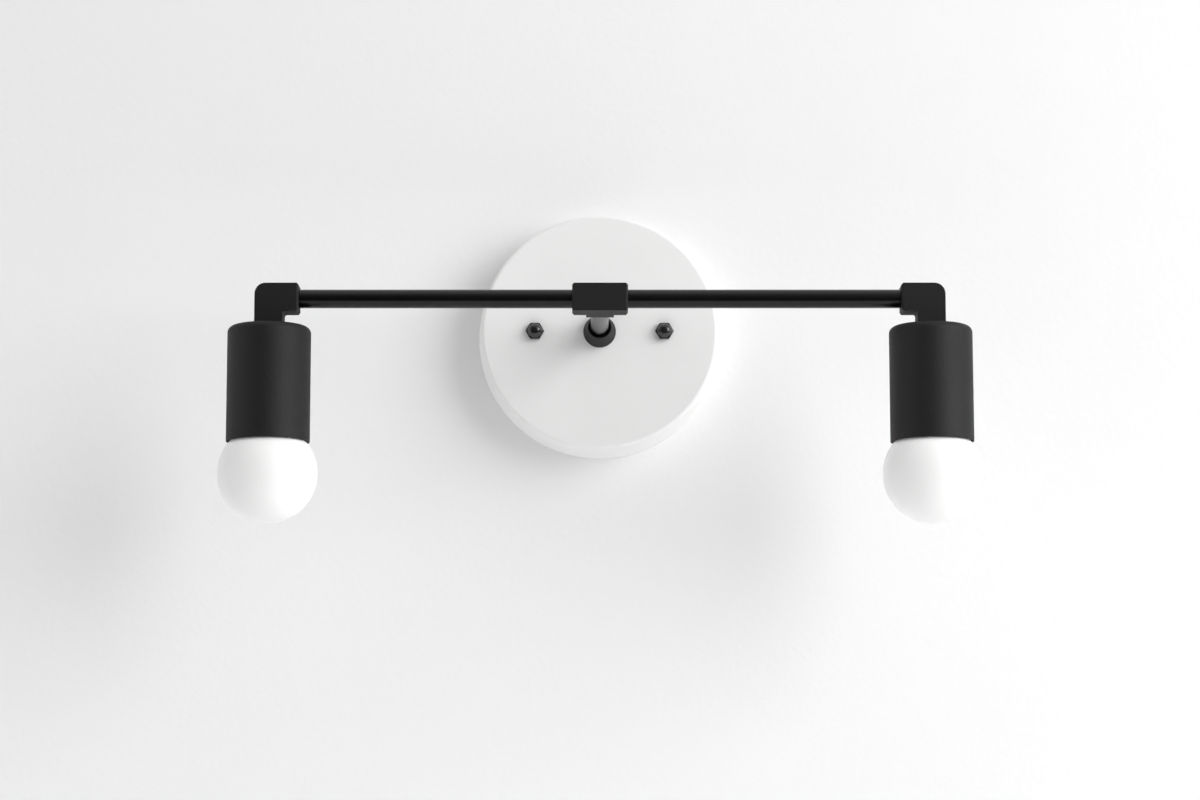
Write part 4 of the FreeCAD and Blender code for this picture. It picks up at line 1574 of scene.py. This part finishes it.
@dataclass
class Bulb:
    """One screw-base globe bulb."""

    side: Side
    tip_top: float = -37.0
    tip_bottom: float = -38.5
    shell_top: float = -41.4
    shell_bottom: float = -64.4
    shell_radius: float = 13.1
    shell_wall: float = 0.35
    globe_radius: float = 25.3
    globe_centre: float = -89.7
    globe_wall: float = 0.9
    neck_radius: float = 11.9
    neck_top: float = -58.8
    mount_bottom: float = -67.4
    filament_z: float = -76.7
    filament_reach: float = 8.0
    filament_radius: float = 0.1
    leg_radius: float = 0.3

    def build(self) -> None:
        """Make and dress every piece of the bulb."""
        self.glass()
        self.base()
        self.inside()

    def put(self, piece: Piece, coat: Coats, node: str, body: str = "bulb") -> None:
        """Settle a piece that stands on the bulb's axis."""
        settle(piece, coat, self.side.named(node), self.side.cup_axis(), self.side.named(body))

    def glass(self) -> None:
        """Opal globe with its neck in the base."""
        ball = {"globe_radius": self.globe_radius, "centre": self.globe_centre, "wall": self.globe_wall}
        neck = {"neck_radius": self.neck_radius, "neck_top": self.neck_top, "neck_rise": 8.4, "lean": 3.4}
        flow = {"shoulder": math.radians(50.8), "ball_share": 0.8, "sides": 128, "rows": 80}
        globe = GlobeRecipe.build(self.side.named("opal_globe"), Coats.OPAL, **ball, **neck, **flow)
        self.put(globe, Coats.OPAL, "bulb_glass")

    def base(self) -> None:
        """Threaded shell, insulator and solder tip."""
        named, top, tip = self.side.named, self.shell_top, self.tip_bottom
        sizes = {"plain_bottom": 3.4, "plain_top": 2.2, "top_radius": 9.6, "top_slope": 2.5}
        sizes |= {"bottom": self.shell_bottom, "top": top}
        sizes |= {"radius": self.shell_radius, "wall": self.shell_wall}
        shell = RolledShellRecipe.build(named("lamp_screw_shell"), Coats.NICKEL, **sizes, **LAMP_THREAD)
        self.put(shell, Coats.NICKEL, "bulb_base_shell")
        cone = [(0.0, top), (9.5, top, 0.3), (5.0, tip, 0.5), (0.0, tip)]
        self.put(turned(named("insulator_cone"), cone, False), Coats.VITRITE, "bulb_insulator")
        blob = [(0.0, tip), (4.6, tip, 0.3), (2.4, self.tip_top, 0.9), (0.0, self.tip_top)]
        self.put(turned(named("solder_tip"), blob, False, 48), Coats.SOLDER, "bulb_tip_contact", "bulb_tip")

    def inside(self) -> None:
        """Glass mount and filament."""
        named, low, reach = self.side.named, self.mount_bottom, self.filament_reach
        stem = [(0.0, low), (2.2, low, 0.6), (2.6, -60.0, 4.0), (4.2, self.shell_top), (0.0, self.shell_top)]
        self.put(turned(named("glass_stem"), stem, False, 40), Coats.CLEAR, "bulb_glass_mount")
        sizes = {"radius": 0.36, "wire_radius": self.filament_radius, "length": 2 * reach, "turns": 34.0}
        coil = CoilRecipe.build("coil", Coats.TUNGSTEN, **sizes)
        coil = moved(coil, Spindle((-reach, 0.0, self.filament_z), Heading.RIGHT))
        legs = []
        for way in (-1, 1):
            route = [(1.2, low - 0.3), (2.4, -69.6), (6.8, -73.6), (reach, self.filament_z)]
            legs.append(wire_tube("leg", [Vector((way * x, 0.0, z)) for x, z in route], self.leg_radius))
        self.put(joined(named("coiled_filament"), coil, *legs), Coats.TUNGSTEN, "bulb_filament")


class Pole(Enum):
    """The two leads of a lamp."""

    HOT = 1
    NEUTRAL = -1


@dataclass
class Wiring:
    """Insulated leads through the tubes and the connectors that join them."""

    radius: float = 1.0
    offset: float = 1.3
    plane_out: float = 10.0
    splice_height: float = 24.0
    corner_hold: float = 9.0
    terminal_z: float = -29.1
    hot_y: float = -6.0
    neutral_y: float = 4.6
    connector_start: float = 11.0
    grip_length: float = 7.0
    connector_length: float = 17.0
    connector_bore: float = 2.6
    mouth_radius: float = 5.4
    grip_radius: float = 5.2
    tip_radius: float = 3.2

    def build(self) -> None:
        """Make and dress the leads and connectors."""
        for side in Side:
            for pole in Pole:
                node = side.named(pole.name.lower() + "_lead")
                coat = Coats.BLACK_LEAD if pole is Pole.HOT else Coats.WHITE_LEAD
                settle(wire_tube(node + "_wire", self.route(side, pole), self.radius), coat, node)
        self.connectors()

    def route(self, side: Side, pole: Pole) -> list[Vector]:
        """Control points of one lead, from its terminal to its connector.

        Args:
            side: The end of the light.
            pole: Hot or neutral.

        Returns:
            The points.
        """
        drop_x = side.value * (CUP_X + pole.value * self.offset)
        run_z = pole.value * self.offset
        stem_x = side.value * self.offset
        splice_z = pole.value * (self.splice_height - side.value * self.offset)
        terminal_y = self.hot_y if pole is Pole.HOT else self.neutral_y
        out = -self.plane_out
        corners = [
            (drop_x, -ARM_OUT + terminal_y, self.terminal_z),
            (drop_x, -ARM_OUT, self.terminal_z),
            (drop_x, -ARM_OUT, run_z),
            (stem_x, -ARM_OUT, run_z),
            (stem_x, out, run_z),
            (stem_x, out, splice_z),
            (self.connector_start + self.grip_length, out, splice_z),
        ]
        return held_route([Vector(c) for c in corners], self.corner_hold)

    def connectors(self) -> None:
        """Ribbed twist-on connectors."""
        start, bore = self.connector_start, self.connector_bore
        grip, tip = start + self.grip_length, start + self.connector_length
        corners = [(bore, start), (self.mouth_radius, start, 0.4), (self.grip_radius, grip, 1.0)]
        corners += [(self.tip_radius, tip, 1.4), (0.0, tip), (0.0, grip), (bore, grip)]
        shell = turned("connector_shell", corners, sides=48)
        rib_root, rib_half, rib_height = 5.0, 0.3, 1.0
        rib = cuboid("rib", (0.0, -rib_half, start + 5.0), (rib_height, rib_half, tip - 1.6))
        lean = math.atan2(self.grip_radius - self.tip_radius, tip - grip)
        for corner in rib.data.vertices:
            corner.co.x += rib_root - max(0.0, corner.co.z - grip) * math.tan(lean)
        ribs = RingRecipe.build("ribs", Coats.CONNECTOR, edge_rounded(rib, 0.12, 1), count=16)
        seed = moved(joined("connector", shell, ribs), Spindle(heading=Heading.RIGHT))
        ends = (0.0, 0.0, -self.splice_height), (0.0, 0.0, self.splice_height)
        pair = RowRecipe.pair("twist_connector_pair", Coats.CONNECTOR, seed, *ends)
        settle(pair, Coats.CONNECTOR, "wire_connectors", Spindle((0.0, -self.plane_out, 0.0)))


def held_route(corners: Sequence[Vector], near: float) -> list[Vector]:
    """Add a point on each side of every corner, so that the runs between stay straight.

    Args:
        corners: The route's corners with its ends.
        near: Distance of the added points from a corner, where the run has room.

    Returns:
        The control points.
    """
    points = [corners[0]]
    for before, here, after in zip(corners, corners[1:], corners[2:]):
        points.append(here + (before - here).normalized() * min(near, (before - here).length / 3))
        points.append(here)
        points.append(here + (after - here).normalized() * min(near, (after - here).length / 3))
    return points + [corners[-1]]


@dataclass(frozen=True)
class Softbox:
    """A large soft lamp that looks at the light."""

    name: str
    place: Point
    size: float
    power: float


@dataclass(frozen=True)
class Glow:
    """A soft patch of light in the air round the light."""

    heading: Point
    level: float


@dataclass
class Studio:
    """Camera, pale wall and floor, and soft lamps."""

    camera_place: Point = (-0.00405, -1.7606, -0.2969)
    pitch: float = 8.51
    yaw: float = 0.14
    roll: float = -0.03
    lens: float = 97.8
    sensor: float = 36.0
    nearest: float = 0.05
    farthest: float = 50.0
    wall_half: float = 2.2
    wall_hole: float = 0.0658
    wall_sides: int = 96
    wall_y: float = 0.0002
    floor_z: float = -0.9
    floor_depth: float = 1.45
    front_edge: float = -0.95
    side_edge: float = 0.2
    side_level: float = 0.93
    glow_power: float = 6.0
    glows: tuple[Glow, ...] = (
        Glow((-0.9, -0.35, -0.25), 1.05),
        Glow((0.6, -0.7, 0.35), 0.7),
        Glow((0.0, -0.3, 0.95), 0.6),
    )
    softboxes: tuple[Softbox, ...] = (
        Softbox("key", (1.9, -1.75, 0.65), 1.8, 45.0),
        Softbox("side", (3.1, -0.95, 0.7), 1.6, 12.0),
    )

    def build(self) -> None:
        """Make the whole studio."""
        self.camera()
        self.backdrop()
        self.lamps()
        self.world()

    def camera(self) -> None:
        """Camera at the photograph's viewing angle."""
        pitch, yaw, roll = (math.radians(a) for a in (self.pitch, self.yaw, self.roll))
        forward = Vector((math.sin(yaw) * math.cos(pitch), math.cos(yaw) * math.cos(pitch), math.sin(pitch)))
        level = Vector((math.cos(yaw), -math.sin(yaw), 0.0))
        upright = level.cross(forward)
        right = level * math.cos(roll) + upright * math.sin(roll)
        up = upright * math.cos(roll) - level * math.sin(roll)
        data = bpy.data.cameras.new("view")
        data.lens = self.lens
        data.sensor_width = self.sensor
        data.clip_start = self.nearest
        data.clip_end = self.farthest
        camera = add_object("view", data)
        turn = Matrix((right, up, -forward)).transposed().to_4x4()
        camera.matrix_world = Matrix.Translation(self.camera_place) @ turn
        bpy.context.scene.camera = camera

    def backdrop(self) -> None:
        """Wall with a hole behind the canopy, and a floor."""
        cage = bmesh.new()
        turns = [math.tau * i / self.wall_sides for i in range(self.wall_sides)]
        rings = []
        for corner_of in (self.hole_corner, self.edge_corner):
            places = [corner_of(math.cos(t), math.sin(t)) for t in turns]
            rings.append([cage.verts.new((x, self.wall_y, z)) for x, z in places])
        hole, edge = rings
        for i in range(self.wall_sides):
            cage.faces.new((hole[i - 1], edge[i - 1], edge[i], hole[i]))
        wall = self.staged("studio_wall", cage, (0.0, -1.0, 0.0), BackdropPaint("wall_paint", 0.9))
        cage = bmesh.new()
        reach, front, back = self.wall_half, -self.floor_depth, self.wall_y
        corners = [(-reach, front), (reach, front), (reach, back), (-reach, back)]
        cage.faces.new([cage.verts.new((x, y, self.floor_z)) for x, y in corners])
        floor = self.staged("studio_floor", cage, (0.0, 0.0, 1.0), BackdropPaint("floor_paint", 0.93, 1.0))

    def hole_corner(self, x: float, z: float) -> tuple[float, float]:
        """Point of the wall's round hole in a direction."""
        return self.wall_hole * x, self.wall_hole * z

    def edge_corner(self, x: float, z: float) -> tuple[float, float]:
        """Point of the wall's square edge in a direction."""
        scale = self.wall_half / max(abs(x), abs(z))
        return x * scale, z * scale

    @staticmethod
    def staged(name: str, cage: Cage, facing: Point, paint: "BackdropPaint") -> Piece:
        """Make a backdrop object whose faces look one way.

        Args:
            name: Its name.
            cage: Its faces.
            facing: The way that they look.
            paint: Its paint.

        Returns:
            The object.
        """
        cage.normal_update()
        bmesh.ops.reverse_faces(cage, faces=[f for f in cage.faces if f.normal.dot(Vector(facing)) < 0])
        mesh = mesh_of(name, cage)
        mesh.materials.append(paint.material())
        return add_object(name, mesh)

    def lamps(self) -> None:
        """Soft square lamps."""
        for box in self.softboxes:
            data = bpy.data.lights.new(box.name, "AREA")
            data.shape = "SQUARE"
            data.size = box.size
            data.energy = box.power
            lamp = add_object(box.name, data)
            lamp.location = box.place
            lamp.rotation_mode = "QUATERNION"
            lamp.rotation_quaternion = (-Vector(box.place)).to_track_quat("-Z", "Y")

    def world(self) -> None:
        """Soft light from the sides and above, a darker front, and near white for the camera."""
        world = bpy.data.worlds.new("studio_air")
        world.use_nodes = True
        bpy.context.scene.world = world
        graph = Graph(world.node_tree)
        heading = graph.node("ShaderNodeTexCoord", out="Generated")
        split = graph.node("ShaderNodeSeparateXYZ", {0: heading}, out="Y")
        rays = seen_rays(graph, split.above(0.0))
        level = split.eased(self.front_edge, self.side_edge) * self.side_level
        for glow in self.glows:
            sockets = {0: heading, 1: glow.heading}
            facing = graph.node("ShaderNodeVectorMath", sockets, out="Value", operation="DOT_PRODUCT")
            level = level + graph.compute("POWER", facing.most(0.0), self.glow_power) * glow.level
        strength = level + rays * (SEEN_LEVEL - level)
        sky = graph.node("ShaderNodeBackground", {"Color": WHITE, "Strength": strength})
        graph.deliver("ShaderNodeOutputWorld", "Surface", sky)


def seen_rays(graph: Graph, mirrored: Term) -> Wire:
    """Find the rays that show a background.

    Args:
        graph: The tree.
        mirrored: How much of the background gloss and glass show, from 0 to 1.

    Returns:
        1 on a ray from the camera, and the share on one off gloss or through glass.
    """
    kinds = ("Camera", "Glossy", "Transmission")
    direct, glossy, through = (graph.node("ShaderNodeLightPath", out=f"Is {kind} Ray") for kind in kinds)
    return (direct + (glossy + through) * mirrored).least(1.0)


@dataclass(frozen=True)
class BackdropPaint:
    """Flat pale paint that shows from its front only, and nears white to the camera as it is lifted."""

    name: str
    level: float
    lifted: float = 0.0
    coolness: float = 1.002
    cloud_mm: float = 90.0
    plaster_mm: float = 4.0
    spread: float = 0.012
    depth: float = 0.15

    def material(self) -> Material:
        """The paint's material.

        Returns:
            The material.
        """
        shader = Shader(self.name)
        pale = (self.level, self.level, self.level * self.coolness)
        colour = shader.shades(shader.noise(self.cloud_mm, 3), pale, self.spread)
        normal = shader.relief(shader.noise(self.plaster_mm, 4), self.depth)
        paint = shader.node("ShaderNodeBsdfDiffuse", {"Color": colour, "Normal": normal})
        if self.lifted:
            white = shader.node("ShaderNodeEmission", {"Color": WHITE, "Strength": SEEN_LEVEL})
            share = seen_rays(shader, 0.0) * self.lifted
            paint = shader.node("ShaderNodeMixShader", {0: share, 1: paint, 2: white})
        clear = shader.node("ShaderNodeBsdfTransparent")
        behind = shader.node("ShaderNodeNewGeometry", out="Backfacing")
        return shader.close(shader.node("ShaderNodeMixShader", {0: behind, 1: paint, 2: clear}))


def main() -> None:
    """Build the light and its studio."""
    logging.basicConfig(level=logging.INFO, format="%(message)s")
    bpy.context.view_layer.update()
    bpy.context.scene.view_settings.view_transform = "Standard"
    Studio().build()
    WallMount().build()
    Stem().build()
    Arms().build()
    for side in Side:
        LampHolder(side).build()
        Bulb(side).build()
    Wiring().build()


if __name__ == "__main__":
    main()
